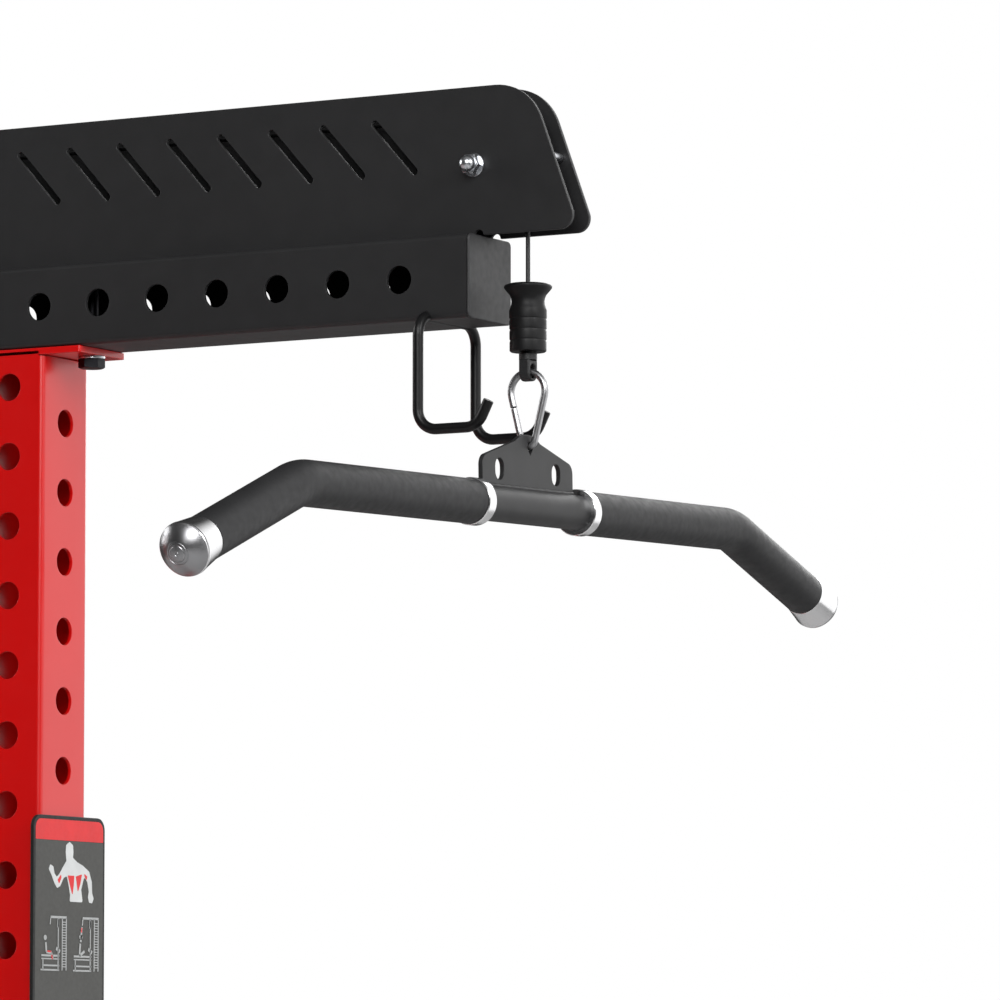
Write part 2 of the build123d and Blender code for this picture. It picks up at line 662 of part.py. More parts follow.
with BuildPart() as lat_bar_grips:
    for side in (-1, 1):
        with BuildLine():
            FilletPolyline(
                bar_point(side * COLLAR_OUTER, BAR_LEVEL), bar_point(side * BAR_STRAIGHT, BAR_LEVEL),
                bar_end(side), radius=BAR_BEND_R,
            )
        with BuildSketch(Plane(origin=bar_point(side * COLLAR_OUTER, BAR_LEVEL), z_dir=bar_along * side)):
            Circle(GRIP_R)
            Circle(BAR_R + CLEAR, mode=Mode.SUBTRACT)
        sweep()
save(lat_bar_grips, "lat_bar_grips")

with BuildPart() as lat_bar_collars:
    for side in (-1, 1):
        with BuildSketch(Plane(origin=bar_point(side * COLLAR_INNER, BAR_LEVEL), z_dir=bar_along * side)):
            Circle(COLLAR_R)
            Circle(BAR_R + CLEAR, mode=Mode.SUBTRACT)
        extrude(amount=COLLAR_OUTER - COLLAR_INNER)
save(lat_bar_collars, "lat_bar_collars")

SLEEVE_LENGTH = 21.0
DOME_R = 18.4
DOME_HEIGHT = 11.0
rim_r = DOME_R - 0.4
rim_level = SLEEVE_LENGTH + 2
dome_rise = SLEEVE_LENGTH + DOME_HEIGHT - rim_level
dome_sphere_r = (rim_r ** 2 + dome_rise ** 2) / (2 * dome_rise)
dome_half_angle = math.asin(rim_r / dome_sphere_r) / 2
dome_middle = (
    dome_sphere_r * math.sin(dome_half_angle),
    SLEEVE_LENGTH + DOME_HEIGHT - dome_sphere_r * (1 - math.cos(dome_half_angle)),
)
with BuildPart() as lat_bar_end_caps:
    for side in (-1, 1):
        outward = (bar_end(side) - bar_point(side * BAR_STRAIGHT, BAR_LEVEL)).normalized()
        with BuildSketch(Plane(origin=bar_end(side), x_dir=(1, 0, 0), z_dir=Vector(1, 0, 0).cross(outward))):
            with BuildLine():
                Polyline((BAR_R + CLEAR, 0), (GRIP_R, 0), (DOME_R, SLEEVE_LENGTH), (rim_r, rim_level))
                ThreePointArc((rim_r, rim_level), dome_middle, (0, SLEEVE_LENGTH + DOME_HEIGHT))
                Polyline(
                    (0, SLEEVE_LENGTH + DOME_HEIGHT), (0, SLEEVE_LENGTH), (BAR_R + CLEAR, SLEEVE_LENGTH),
                    (BAR_R + CLEAR, 0),
                )
            make_face()
        revolve(axis=Axis(bar_end(side), outward))
save(lat_bar_end_caps, "lat_bar_end_caps")

HANGER_HALF = 64.0
HANGER_CORNER = 32.5
HANGER_APEX = 50.6
HANGER_SHOULDER = 45.3      # where the crown's arc meets the sloping edges
CROWN = 18.0                # half width of the crown's arc
with BuildPart() as hanger_plate:
    with BuildSketch(bar_plane(-HANGER_THICK / 2)) as hanger_outline:
        with BuildLine():
            base = BAR_LEVEL + BAR_R
            corner = BAR_LEVEL + HANGER_CORNER
            shoulder = BAR_LEVEL + HANGER_SHOULDER
            Polyline((-CROWN, shoulder), (-HANGER_HALF, corner), (-HANGER_HALF, base), (HANGER_HALF, base))
            Polyline((HANGER_HALF, base), (HANGER_HALF, corner), (CROWN, shoulder))
            ThreePointArc((CROWN, shoulder), (0, BAR_LEVEL + HANGER_APEX), (-CROWN, shoulder))
        make_face()
        fillet(hanger_outline.vertices().filter_by(lambda v: abs(v.X) > 60 and v.Y > base + 5), 8)
        with Locations((-40, BAR_LEVEL + 24.6), (40, BAR_LEVEL + 24.6)):
            SlotOverall(15.4, 12, rotation=90, mode=Mode.SUBTRACT)
        with Locations((BAR_SHIFT, -0.6)):
            Circle(3.7, mode=Mode.SUBTRACT)
        with BuildLine():
            Polyline(
                (BAR_SHIFT - 3.2, -2.4), (BAR_SHIFT, -6.6), (BAR_SHIFT + 3.2, -2.4), close=True,
            )
        make_face(mode=Mode.SUBTRACT)
    extrude(amount=HANGER_THICK)
save(hanger_plate, "hanger_plate")

# ---------------------------------------------------------------- bar rest hooks under the arm
HOOK_FLOOR = ARM_TOP - 138.6
HOOK_BEND_R = 14.7
HOOK_TIP_X = HOOK_X + 57.2
HOOK_TIP_LEVEL = ARM_TOP - 120.5
tip_rise = math.radians(63)
with BuildPart() as bar_rest_hooks:
    corner_x = HOOK_TIP_X - (HOOK_TIP_LEVEL - HOOK_FLOOR) / math.tan(tip_rise)
    near_side = [
        (HOOK_TIP_X, -HOOK_SPREAD, HOOK_TIP_LEVEL), (corner_x, -HOOK_SPREAD, HOOK_FLOOR),
        (HOOK_X, -HOOK_SPREAD, HOOK_FLOOR), (HOOK_X, -HOOK_SPREAD, HOOK_BAR_LEVEL),
    ]
    far_side = [(x, HOOK_SPREAD, z) for x, y, z in reversed(near_side)]
    with BuildLine() as rod:
        FilletPolyline(*near_side, *far_side, radius=HOOK_BEND_R)
    with BuildSketch(Plane(origin=rod.line @ 0, z_dir=rod.line % 0)):
        Circle(HOOK_R)
    sweep()
save(bar_rest_hooks, "bar_rest_hooks")

# ---------------------------------------------------------------- arm fasteners and placard
FLANGE_WASHER = 2.0
with BuildPart() as arm_flange_washers:
    for offset in FLANGE_BOLTS:
        with BuildSketch(facing(column_x + offset, 0, column_top - FLANGE_WASHER)):
            Circle(FLANGE_BOLT_D)
            Circle(FLANGE_BOLT_D / 2 + CLEAR, mode=Mode.SUBTRACT)
        extrude(amount=FLANGE_WASHER)
save(arm_flange_washers, "arm_flange_washers")

FLANGE_FLATS = 17.0
FLANGE_HEAD = 7.0
THREAD_PAST = 2.0           # thread showing past a nut


def vertical_bolt(x, head_face, nut_face, step, size, flats, head):
    """Hex bolt on the middle plane: its head's face, the face under its nut, and +1 if it points up."""
    with BuildPart() as fastener:
        with BuildSketch(facing(x, 0, head_face)):
            RegularPolygon(flats / 2, 6, major_radius=False)
        extrude(amount=-step * head)
        with BuildSketch(facing(x, 0, head_face)):
            Circle(size / 2)
        extrude(amount=nut_face - head_face + step * (head + THREAD_PAST))
        with BuildSketch(facing(x, 0, nut_face)):
            RegularPolygon(flats / 2, 6, major_radius=False)
        extrude(amount=step * head)
    return fastener.part


with BuildPart() as arm_flange_bolts:
    for offset in FLANGE_BOLTS:
        head_face = column_top - FLANGE_WASHER
        add(vertical_bolt(column_x + offset, head_face, ARM_TOP, 1, FLANGE_BOLT_D, FLANGE_FLATS, FLANGE_HEAD))
save(arm_flange_bolts, "arm_flange_bolts")

PLACARD_TOP = ARM_TOP - 400.0
PLACARD_HEIGHT = 290.0
PLACARD_WIDTH = 96.0
PLACARD_SHIFT = 5.2
PLACARD_THICK = 3.0
column_face = column_x + TUBE / 2
with BuildPart() as instruction_placard:
    placard_middle = PLACARD_TOP - PLACARD_HEIGHT / 2
    with BuildSketch(facing(column_face, PLACARD_SHIFT, placard_middle, "X")):
        RectangleRounded(PLACARD_WIDTH, PLACARD_HEIGHT, 9)
    extrude(amount=PLACARD_THICK)
save(instruction_placard, "instruction_placard")

# ---------------------------------------------------------------- weight carriage and guide rods
BRACKET = 6.0
BRACKET_LENGTH = 70.0
BRACKET_HALF = 140.0
rod_low = foot_top + TUBE
rod_high = ARM_TOP - TUBE
rod_spots = [(0, -ROD_SPREAD), (0, ROD_SPREAD)]
bracket_holes = [(offset, 0) for offset in BRACKET_BOLTS]
with BuildPart() as guide_rod_brackets:
    with BuildSketch(facing(lift_x, 0, rod_high - BRACKET)):
        RectangleRounded(BRACKET_LENGTH, 2 * BRACKET_HALF, 6)
        with Locations(*rod_spots):
            Circle(ROD_R + CLEAR, mode=Mode.SUBTRACT)
        with Locations(*bracket_holes):
            Circle(BRACKET_BOLT_D / 2 + BOLT_PLAY, mode=Mode.SUBTRACT)
        Circle(CABLE_HOLE_D / 2, mode=Mode.SUBTRACT)
    extrude(amount=BRACKET)
    with BuildSketch(facing(lift_x, 0, rod_low)):
        RectangleRounded(BRACKET_LENGTH, 2 * BRACKET_HALF, 6)
        with Locations(*rod_spots):
            Circle(ROD_R + CLEAR, mode=Mode.SUBTRACT)
        with Locations(*bracket_holes):
            Circle(BRACKET_BOLT_D / 2 + BOLT_PLAY, mode=Mode.SUBTRACT)
    extrude(amount=BRACKET)
save(guide_rod_brackets, "guide_rod_brackets")

with BuildPart() as bracket_bolts:
    for offset in BRACKET_BOLTS:
        add(vertical_bolt(lift_x + offset, rod_high - BRACKET, ARM_TOP, 1, BRACKET_BOLT_D, 10.0, 4.0))
        add(vertical_bolt(lift_x + offset, rod_low + BRACKET, foot_top, -1, BRACKET_BOLT_D, 10.0, 4.0))
save(bracket_bolts, "bracket_bolts")

with BuildPart() as guide_rods:
    with BuildSketch(facing(lift_x, 0, rod_low)):
        with Locations(*rod_spots):
            Circle(ROD_R)
    extrude(amount=rod_high - rod_low)
save(guide_rods, "guide_rods")

STOP_R = 20.0
BUMPER_R = 26.0
BUMPER_HEIGHT = 40.0
BUMPER_GAP = 0.4            # between a bumper and the resting carriage
carriage_bottom = CARRIAGE_LEVEL - CARRIAGE_HEIGHT / 2
bumper_top = carriage_bottom - BUMPER_GAP
with BuildPart() as guide_rod_stops:
    with BuildSketch(facing(lift_x, 0, rod_low + BRACKET)):
        with Locations(*rod_spots):
            Circle(STOP_R)
            Circle(ROD_R + CLEAR, mode=Mode.SUBTRACT)
    extrude(amount=bumper_top - BUMPER_HEIGHT - rod_low - BRACKET)
save(guide_rod_stops, "guide_rod_stops")

with BuildPart() as carriage_bumpers:
    with BuildSketch(facing(lift_x, 0, bumper_top - BUMPER_HEIGHT)):
        with Locations(*rod_spots):
            Circle(BUMPER_R)
            Circle(ROD_R + CLEAR, mode=Mode.SUBTRACT)
    extrude(amount=BUMPER_HEIGHT)
save(carriage_bumpers, "carriage_bumpers")

BUSH_R = 18.0
BUSH_PLAY = 0.08
with BuildPart() as weight_carriage:
    with BuildSketch(facing(lift_x, 0, carriage_bottom)):
        RectangleRounded(CARRIAGE_DEPTH, 2 * CARRIAGE_HALF_WIDTH, 5)
        with Locations(*rod_spots):
            Circle(BUSH_R, mode=Mode.SUBTRACT)
    extrude(amount=CARRIAGE_HEIGHT)
    with BuildSketch(facing(lift_x, 0, CARRIAGE_LEVEL + CARRIAGE_HEIGHT / 2)):
        Circle(LUG_BOSS_R)
    extrude(amount=LUG_BOSS)
    with BuildSketch(facing(lift_x, 0, carriage_lug_top)):
        Circle(CABLE_R + CLEAR)
    extrude(amount=-CABLE_SET - 1, mode=Mode.SUBTRACT)
save(weight_carriage, "weight_carriage")

with BuildPart() as carriage_bushings:
    with BuildSketch(facing(lift_x, 0, carriage_bottom)):
        with Locations(*rod_spots):
            Circle(BUSH_R)
            Circle(ROD_R + BUSH_PLAY, mode=Mode.SUBTRACT)
    extrude(amount=CARRIAGE_HEIGHT)
save(carriage_bushings, "carriage_bushings")

FLANGE_DISC_R = 45.0
FLANGE_DISC = 6.0
HORN_WALL = 3.0
HORN_BORE = 200.0
with BuildPart() as weight_horns:
    for step in (1, -1):
        with BuildSketch(facing(lift_x, step * CARRIAGE_HALF_WIDTH, CARRIAGE_LEVEL, "Y")):
            Circle(FLANGE_DISC_R)
        extrude(amount=step * FLANGE_DISC)
        with BuildSketch(facing(lift_x, step * (CARRIAGE_HALF_WIDTH + FLANGE_DISC), CARRIAGE_LEVEL, "Y")):
            Circle(HORN_R)
        extrude(amount=step * HORN_LENGTH)
        tip = step * (CARRIAGE_HALF_WIDTH + FLANGE_DISC + HORN_LENGTH)
        with BuildSketch(facing(lift_x, tip, CARRIAGE_LEVEL, "Y")):
            Circle(HORN_R - HORN_WALL)
        extrude(amount=-step * HORN_BORE, mode=Mode.SUBTRACT)
save(weight_horns, "weight_horns")

with BuildPart() as horn_end_caps:
    for step in (1, -1):
        tip = step * (CARRIAGE_HALF_WIDTH + FLANGE_DISC + HORN_LENGTH)
        with BuildSketch(facing(lift_x, tip, CARRIAGE_LEVEL, "Y")):
            Circle(HORN_R - 0.3)
        extrude(amount=step * 4)
        with BuildSketch(facing(lift_x, tip, CARRIAGE_LEVEL, "Y")):
            Circle(HORN_R - HORN_WALL - CLEAR)
        extrude(amount=-step * SKIRT)
save(horn_end_caps, "horn_end_caps")

# ---------------------------------------------------------------- rack accessories
JHOOK_ROW = 11
JHOOK_HALF_WIDTH = 22.0
JHOOK_PIN_R = 9.5
LINER = 5.0
HOOK_GAP = 0.5              # between the hook's back and the upright
HOOK_REACH = 95.0           # outer face of the lip, from the upright
HOOK_STEEL = 9.0            # thickness of the hook's lip and back
HOOK_BOTTOM = -70.0         # levels from the pin's axis
BACK_TOP = 40.0
LIP_TOP = -10.0
PIN_LENGTH = 40.0
back_inner = HOOK_STEEL
lip_inner = HOOK_REACH - HOOK_STEEL
cradle_floor = HOOK_BOTTOM + 10.0
jhook_level = front_rows[JHOOK_ROW]
jhook_x = front_x + TUBE / 2
sides = {"right": -CAGE_HALF_WIDTH, "left": CAGE_HALF_WIDTH}
for side, y in sides.items():
    # Local X runs away from the upright, local Y up from the pin
    flank = Plane(origin=(jhook_x, y + JHOOK_HALF_WIDTH, jhook_level), x_dir=(1, 0, 0), z_dir=(0, -1, 0))
    with BuildPart() as j_hook:
        with BuildSketch(flank) as hook_outline:
            with BuildLine():
                Polyline(
                    (HOOK_GAP, BACK_TOP), (HOOK_GAP, HOOK_BOTTOM), (HOOK_REACH, HOOK_BOTTOM),
                    (HOOK_REACH, LIP_TOP), (lip_inner, LIP_TOP), (lip_inner, cradle_floor),
                    (back_inner, cradle_floor), (back_inner, BACK_TOP), close=True,
                )
            make_face()
            fillet(hook_outline.vertices().filter_by(lambda v: v.X > lip_inner and v.Y < cradle_floor), 8)
        extrude(amount=2 * JHOOK_HALF_WIDTH)
        with BuildSketch(facing(jhook_x + HOOK_GAP, y, jhook_level, "X")):
            Circle(JHOOK_PIN_R)
        extrude(amount=-PIN_LENGTH)
    save(j_hook, f"j_hook_{side}")
    with BuildPart() as liner:
        with BuildSketch(flank):
            with BuildLine():
                Polyline(
                    (back_inner, BACK_TOP), (back_inner, cradle_floor), (lip_inner, cradle_floor),
                    (lip_inner, LIP_TOP), (lip_inner - LINER, LIP_TOP),
                    (lip_inner - LINER, cradle_floor + LINER), (back_inner + LINER, cradle_floor + LINER),
                    (back_inner + LINER, BACK_TOP), close=True,
                )
            make_face()
        extrude(amount=2 * JHOOK_HALF_WIDTH)
    save(liner, f"j_hook_{side}_liner")

SAFETY_ROW = 22
SAFETY_R = 9.5
SAFETY_OVERHANG = 20.0
KNOB_R = 17.0
KNOB_LENGTH = 24.0
KNOB_GAP = 6.0              # between the upright and the knob
safety_level = front_rows[SAFETY_ROW]
safety_start = front_x - TUBE / 2 - KNOB_GAP
safety_end = rear_x + TUBE / 2 + SAFETY_OVERHANG
for side, y in sides.items():
    with BuildPart() as safety_rod:
        with BuildSketch(facing(safety_start, y, safety_level, "X")):
            Circle(SAFETY_R)
        extrude(amount=safety_end - safety_start)
        with BuildSketch(facing(safety_start, y, safety_level, "X")):
            Circle(KNOB_R)
        extrude(amount=-KNOB_LENGTH)
    save(safety_rod, f"safety_rod_{side}")

# ---------------------------------------------------------------- frame bolts
HEAD_T = 10.0
NUT_T = 13.0
BOLT_AF = 24.0


def bolt(x, y, z, axis, step, grip, size=BOLT_D, flats=BOLT_AF):
    """Hex bolt from its head's bearing face along the axis, with a nut after the grip length."""
    far = {"X": (x + step * grip, y, z), "Y": (x, y + step * grip, z)}[axis]
    with BuildPart() as fastener:
        with BuildSketch(facing(x, y, z, axis)):
            RegularPolygon(flats / 2, 6, major_radius=False)
        extrude(amount=-step * HEAD_T)
        with BuildSketch(facing(x, y, z, axis)):
            Circle(size / 2)
        extrude(amount=step * (grip + NUT_T + 3))
        with BuildSketch(facing(*far, axis)):
            RegularPolygon(flats / 2, 6, major_radius=False)
        extrude(amount=step * NUT_T)
    return fastener.part


bolts = []
for x, outward_x in ((front_x, -1), (rear_x, 1)):
    for y, outward_y in ((-CAGE_HALF_WIDTH, -1), (CAGE_HALF_WIDTH, 1)):
        for level in (*top_front_holes, *low_front_holes):
            bolts.append(bolt(x + outward_x * TUBE / 2, y, level, "X", -outward_x, TUBE + END_PLATE))
        rows = (*top_side_holes, *low_side_holes) if outward_x > 0 else top_side_holes
        for level in rows:
            bolts.append(bolt(x, y + outward_y * TUBE / 2, level, "Y", -outward_y, TUBE + END_PLATE))
for level in low_front_holes:
    bolts.append(bolt(column_face, 0, level, "X", -1, TUBE + END_PLATE))
for level in (TOP_LEVEL, BASE_LEVEL):
    for offset in CROSS_BOLTS:
        bolts.append(bolt(rear_x - TUBE / 2, offset, level, "X", 1, TUBE + END_PLATE, CROSS_BOLT_D, 18.0))
with BuildPart() as frame_bolts:
    add(bolts)
save(frame_bolts, "frame_bolts")
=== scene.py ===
from math import asin, cos, pi, radians, sin, sqrt, tan
import bpy
import bmesh
from mathutils import Matrix, Vector
from mathutils.geometry import tessellate_polygon


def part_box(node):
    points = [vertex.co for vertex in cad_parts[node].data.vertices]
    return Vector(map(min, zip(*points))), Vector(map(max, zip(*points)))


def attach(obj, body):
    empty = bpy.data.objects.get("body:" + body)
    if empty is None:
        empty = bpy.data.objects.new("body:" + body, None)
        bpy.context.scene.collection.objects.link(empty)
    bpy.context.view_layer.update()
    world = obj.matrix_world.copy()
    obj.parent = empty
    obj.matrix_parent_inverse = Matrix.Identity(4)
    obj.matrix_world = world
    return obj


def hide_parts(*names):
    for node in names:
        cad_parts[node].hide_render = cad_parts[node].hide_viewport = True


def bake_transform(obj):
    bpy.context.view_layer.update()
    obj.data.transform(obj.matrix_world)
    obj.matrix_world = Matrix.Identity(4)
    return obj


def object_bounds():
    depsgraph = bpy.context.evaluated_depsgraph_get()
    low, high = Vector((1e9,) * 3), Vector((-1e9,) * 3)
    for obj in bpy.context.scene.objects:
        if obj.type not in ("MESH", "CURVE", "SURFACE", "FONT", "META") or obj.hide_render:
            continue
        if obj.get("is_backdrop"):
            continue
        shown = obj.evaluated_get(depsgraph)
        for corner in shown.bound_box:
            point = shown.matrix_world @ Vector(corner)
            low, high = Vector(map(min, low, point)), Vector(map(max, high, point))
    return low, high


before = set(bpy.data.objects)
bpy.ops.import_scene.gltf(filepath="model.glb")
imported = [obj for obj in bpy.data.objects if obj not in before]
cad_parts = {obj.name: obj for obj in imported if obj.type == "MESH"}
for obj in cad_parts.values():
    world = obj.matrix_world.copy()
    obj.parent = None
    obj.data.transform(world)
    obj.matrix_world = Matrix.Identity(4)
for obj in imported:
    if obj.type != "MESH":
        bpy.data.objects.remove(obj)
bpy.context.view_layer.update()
MM = 0.001


def mm_box(node):
    """Lowest and highest corner of a CAD node, in millimetres."""
    low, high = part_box(node)
    return low / MM, high / MM


# ---- dimensions, in millimetres
TUBE = 60.0
WALL = 2.5
CORNER = 4.0
PITCH = 50.8
END_PLATE = 6.0
END = mm_box("arm_end_cap")[1].x            # the arm's free end
TOP = mm_box("arm_beam")[1].z               # the arm's top face
SIDE_ROWS = [TOP - 87.6 - PITCH * k for k in range(38)]
FRONT_ROWS = [TOP - 113.0 - PITCH * k for k in range(37)]
COLUMN_X = END - 388.0
REAR_X = END - 790.0
FRONT_X = END - 1890.0
HANG_X = END + 30.6
LIFT_X = END - 636.1
HALF_WIDTH = 560.0
SIDES = (("right", -HALF_WIDTH), ("left", HALF_WIDTH))
FOOT_TOP = 12.0


def pt(*coordinates):
    return Vector(coordinates)


X, Y, Z = pt(1, 0, 0), pt(0, 1, 0), pt(0, 0, 1)


def arm(x, y, z):
    """Point given from the arm's free end, middle plane and top face."""
    return pt(END + x, y, TOP + z)


# ---- mesh building
def arc(radius, start, stop, steps, cx=0.0, cy=0.0):
    """Points along an arc, both ends included."""
    turns = [start + (stop - start) * k / steps for k in range(steps + 1)]
    return [(cx + radius * cos(a), cy + radius * sin(a)) for a in turns]


def circle(cx, cy, r, n=48):
    return arc(r, 0, 2 * pi, n, cx, cy)[:-1]


def rounded(points, radii, steps=8):
    """Closed outline with its corners rounded to the given radii."""
    out = []
    count = len(points)
    for i, corner in enumerate(points):
        p = Vector(corner)
        before = (Vector(points[i - 1]) - p).normalized()
        after = (Vector(points[(i + 1) % count]) - p).normalized()
        r = radii[i]
        if r <= 0:
            out.append(tuple(p))
            continue
        half = before.angle(after) / 2
        reach = r / tan(half)
        centre = p + (before + after).normalized() * (r / sin(half))
        a = p + before * reach - centre
        b = p + after * reach - centre
        sweep = a.angle_signed(b)
        for k in range(steps + 1):
            turn = -sweep * k / steps
            c, s = cos(turn), sin(turn)
            out.append((centre.x + a.x * c - a.y * s, centre.y + a.x * s + a.y * c))
    return out


def rectangle(half_x, half_y, radius, steps=8):
    corners = [(-half_x, -half_y), (half_x, -half_y), (half_x, half_y), (-half_x, half_y)]
    return rounded(corners, [radius] * 4, steps)


def slot_outline(cx, cy, length, width, angle, n=10):
    """Round-ended slot, its length along the given angle."""
    half = (length - width) / 2
    out = arc(width / 2, -pi / 2, pi / 2, n, half) + arc(width / 2, pi / 2, 3 * pi / 2, n, -half)
    c, s = cos(angle), sin(angle)
    return [(cx + x * c - y * s, cy + x * s + y * c) for x, y in out]


def area(loop):
    return sum(a[0] * b[1] - b[0] * a[1] for a, b in zip(loop, loop[1:] + loop[:1])) / 2


def inset(loop, distance):
    """Outline moved to its left by a distance, with mitred corners."""
    out = []
    count = len(loop)
    for i in range(count):
        a, p, b = Vector(loop[i - 1]), Vector(loop[i]), Vector(loop[(i + 1) % count])
        u, v = (p - a).normalized(), (b - p).normalized()
        n = pt(-u.y - v.y, u.x + v.x)
        if n.length < 1e-6:
            n = pt(-u.y, u.x)
        n.normalize()
        stretch = max(0.5, n.dot(pt(-u.y, u.x)))
        out.append(tuple(p + n * (distance / stretch)))
    return out


def fillet_path(points, radius, steps=10):
    """Open 3D path with its inner corners rounded."""
    pts = [Vector(p) for p in points]
    out = [pts[0]]
    for i in range(1, len(pts) - 1):
        p = pts[i]
        before, after = (pts[i - 1] - p).normalized(), (pts[i + 1] - p).normalized()
        half = before.angle(after) / 2
        reach = radius / tan(half)
        centre = p + (before + after).normalized() * (radius / sin(half))
        a, b = p + before * reach - centre, p + after * reach - centre
        axis = a.cross(b).normalized()
        sweep = a.angle(b)
        for k in range(steps + 1):
            out.append(centre + Matrix.Rotation(sweep * k / steps, 3, axis) @ a)
    out.append(pts[-1])
    return out


def ring_profile(inner, outer, low, high, soft):
    """Section of a turned ring or pin whose outer edges are chamfered."""
    flat = outer - soft
    return [(inner, low), (flat, low), (outer, low + soft), (outer, high - soft), (flat, high), (inner, high)]


def add_object(name, data):
    obj = bpy.data.objects.new(name, data)
    bpy.context.scene.collection.objects.link(obj)
    return obj


class Shape:
    """Vertices and faces gathered in millimetres, then made into one piece."""

    def __init__(self):
        self.verts = []
        self.faces = []

    def grid(self, rings, close_ring=True, close_rows=False):
        """Quads between successive rings of equal length."""
        base = len(self.verts)
        n = len(rings[0])
        for ring in rings:
            self.verts.extend(Vector(p) for p in ring)
        rows = len(rings)
        for i in range(rows if close_rows else rows - 1):
            j = (i + 1) % rows
            for k in range(n if close_ring else n - 1):
                m = (k + 1) % n
                self.faces.append((base + i * n + k, base + i * n + m, base + j * n + m, base + j * n + k))

    def disc(self, ring):
        base = len(self.verts)
        self.verts.extend(Vector(p) for p in ring)
        self.faces.append(tuple(range(base, base + len(ring))))

    def capped(self, rings):
        self.disc(rings[0])
        self.grid(rings)
        self.disc(rings[-1])
        return self

    def lathe(self, profile, origin, axis, n=64, closed=False):
        """Turned shape: profile points are (radius, distance along the axis)."""
        axis = Vector(axis).normalized()
        side = axis.orthogonal().normalized()
        other = axis.cross(side)
        spokes = [side * x + other * y for x, y in circle(0, 0, 1, n)]
        o = Vector(origin)
        self.grid([[o + axis * t + s * r for s in spokes] for r, t in profile], True, closed)
        return self

    def sweep(self, points, radius, n=24, rim=0.0):
        """Round rod along a path, with closed and slightly rounded ends."""
        pts = [Vector(p) for p in points]
        tangents = []
        for i in range(len(pts)):
            a, b = pts[max(i - 1, 0)], pts[min(i + 1, len(pts) - 1)]
            tangents.append((b - a).normalized())
        side = tangents[0].orthogonal().normalized()
        rings = []
        for i, (p, t) in enumerate(zip(pts, tangents)):
            side = (side - t * side.dot(t)).normalized()
            other = t.cross(side)
            r = radius[i] if isinstance(radius, (list, tuple)) else radius
            spokes = [side * x + other * y for x, y in circle(0, 0, 1, n)]
            way = (i == 0) - (i == len(pts) - 1)
            steps = [(rim, 0), (rim * 0.3, rim * 0.3), (0, rim)] if rim and way else [(0, 0)]
            for cut, on in steps[::way or 1]:
                rings.append([p + s * (r - cut) + t * on * way for s in spokes])
        return self.capped(rings)

    def plate(self, loops, origin, u, v, thick, edge=0.5, steps=3):
        """Flat plate with holes; the first loop is its outline. It grows along u x v."""
        u, v = Vector(u), Vector(v)
        n = u.cross(v)
        o = Vector(origin)
        sided = []
        for i, loop in enumerate(loops):
            wanted = area(loop) > 0
            sided.append(loop if wanted == (i == 0) else loop[::-1])
        levels = []
        for k in range(steps + 1):
            a = pi / 2 * k / steps
            levels.append((edge * (1 - sin(a)), edge * (1 - cos(a))))
        levels += [(d, thick - h) for d, h in reversed(levels)]
        for loop in sided:
            rings = []
            for d, h in levels:
                flat = inset(loop, d) if d > 1e-9 else loop
                rings.append([o + u * x + v * y + n * h for x, y in flat])
            self.grid(rings)
        caps = [inset(loop, edge) if edge > 1e-9 else loop for loop in sided]
        tris = tessellate_polygon([[pt(x, y, 0) for x, y in loop] for loop in caps])
        flat = [p for loop in caps for p in loop]
        for h in (0.0, thick):
            base = len(self.verts)
            self.verts.extend(o + u * x + v * y + n * h for x, y in flat)
            self.faces.extend(tuple(base + i for i in t) for t in tris)
        return self

    def hexagon(self, origin, axis, flats, height, turn=0.0):
        """Hex head or nut with turned corners on its outer face."""
        axis = Vector(axis).normalized()
        side = Matrix.Rotation(turn, 3, axis) @ axis.orthogonal().normalized()
        other = axis.cross(side)
        o = Vector(origin)
        face_r = flats / 2 * 0.97
        spokes = []
        for k in range(72):
            a = 2 * pi * k / 72
            r = flats / 2 / cos((a % (pi / 3)) - pi / 6)
            spokes.append((side * cos(a) + other * sin(a), r))
        fall = tan(radians(28))
        rings = [[o + s * r for s, r in spokes]]
        rings.append([o + s * r + axis * (height - (r - face_r) * fall) for s, r in spokes])
        rings.append([o + s * face_r + axis * height for s, r in spokes])
        return self.capped(rings)

    def square_tube(self, start, along, u, length, u_holes=(), v_holes=(), radius=10.0, m=8):
        """Square tube with round holes, whose positions are distances from the start."""
        along, u = Vector(along), Vector(u)
        v = along.cross(u)
        o = Vector(start)
        half, inner = TUBE / 2, TUBE / 2 - WALL
        flat = half - CORNER
        step = PITCH / m
        marks = {0.0, round(length, 4)}
        spans = ([], [])
        for which, rows in enumerate((u_holes, v_holes)):
            for t in rows:
                spans[which].append((t - PITCH / 2, t + PITCH / 2))
                marks.update(round(t - PITCH / 2 + step * k, 4) for k in range(m + 1))
        if len(marks) == 2:
            marks.update(round(length * k / 8, 4) for k in range(1, 8))
        levels = sorted(x for x in marks if 0 <= x <= length)
        across = [-flat + 2 * flat * k / m for k in range(m + 1)]
        faces = [(u, v, 0), (v, -u, 1), (-u, -v, 0), (-v, u, 1)]

        def strip(out, tangent, ends):
            self.grid([[o + along * t + out * d + tangent * s for s in across] for t, d in ends], False)

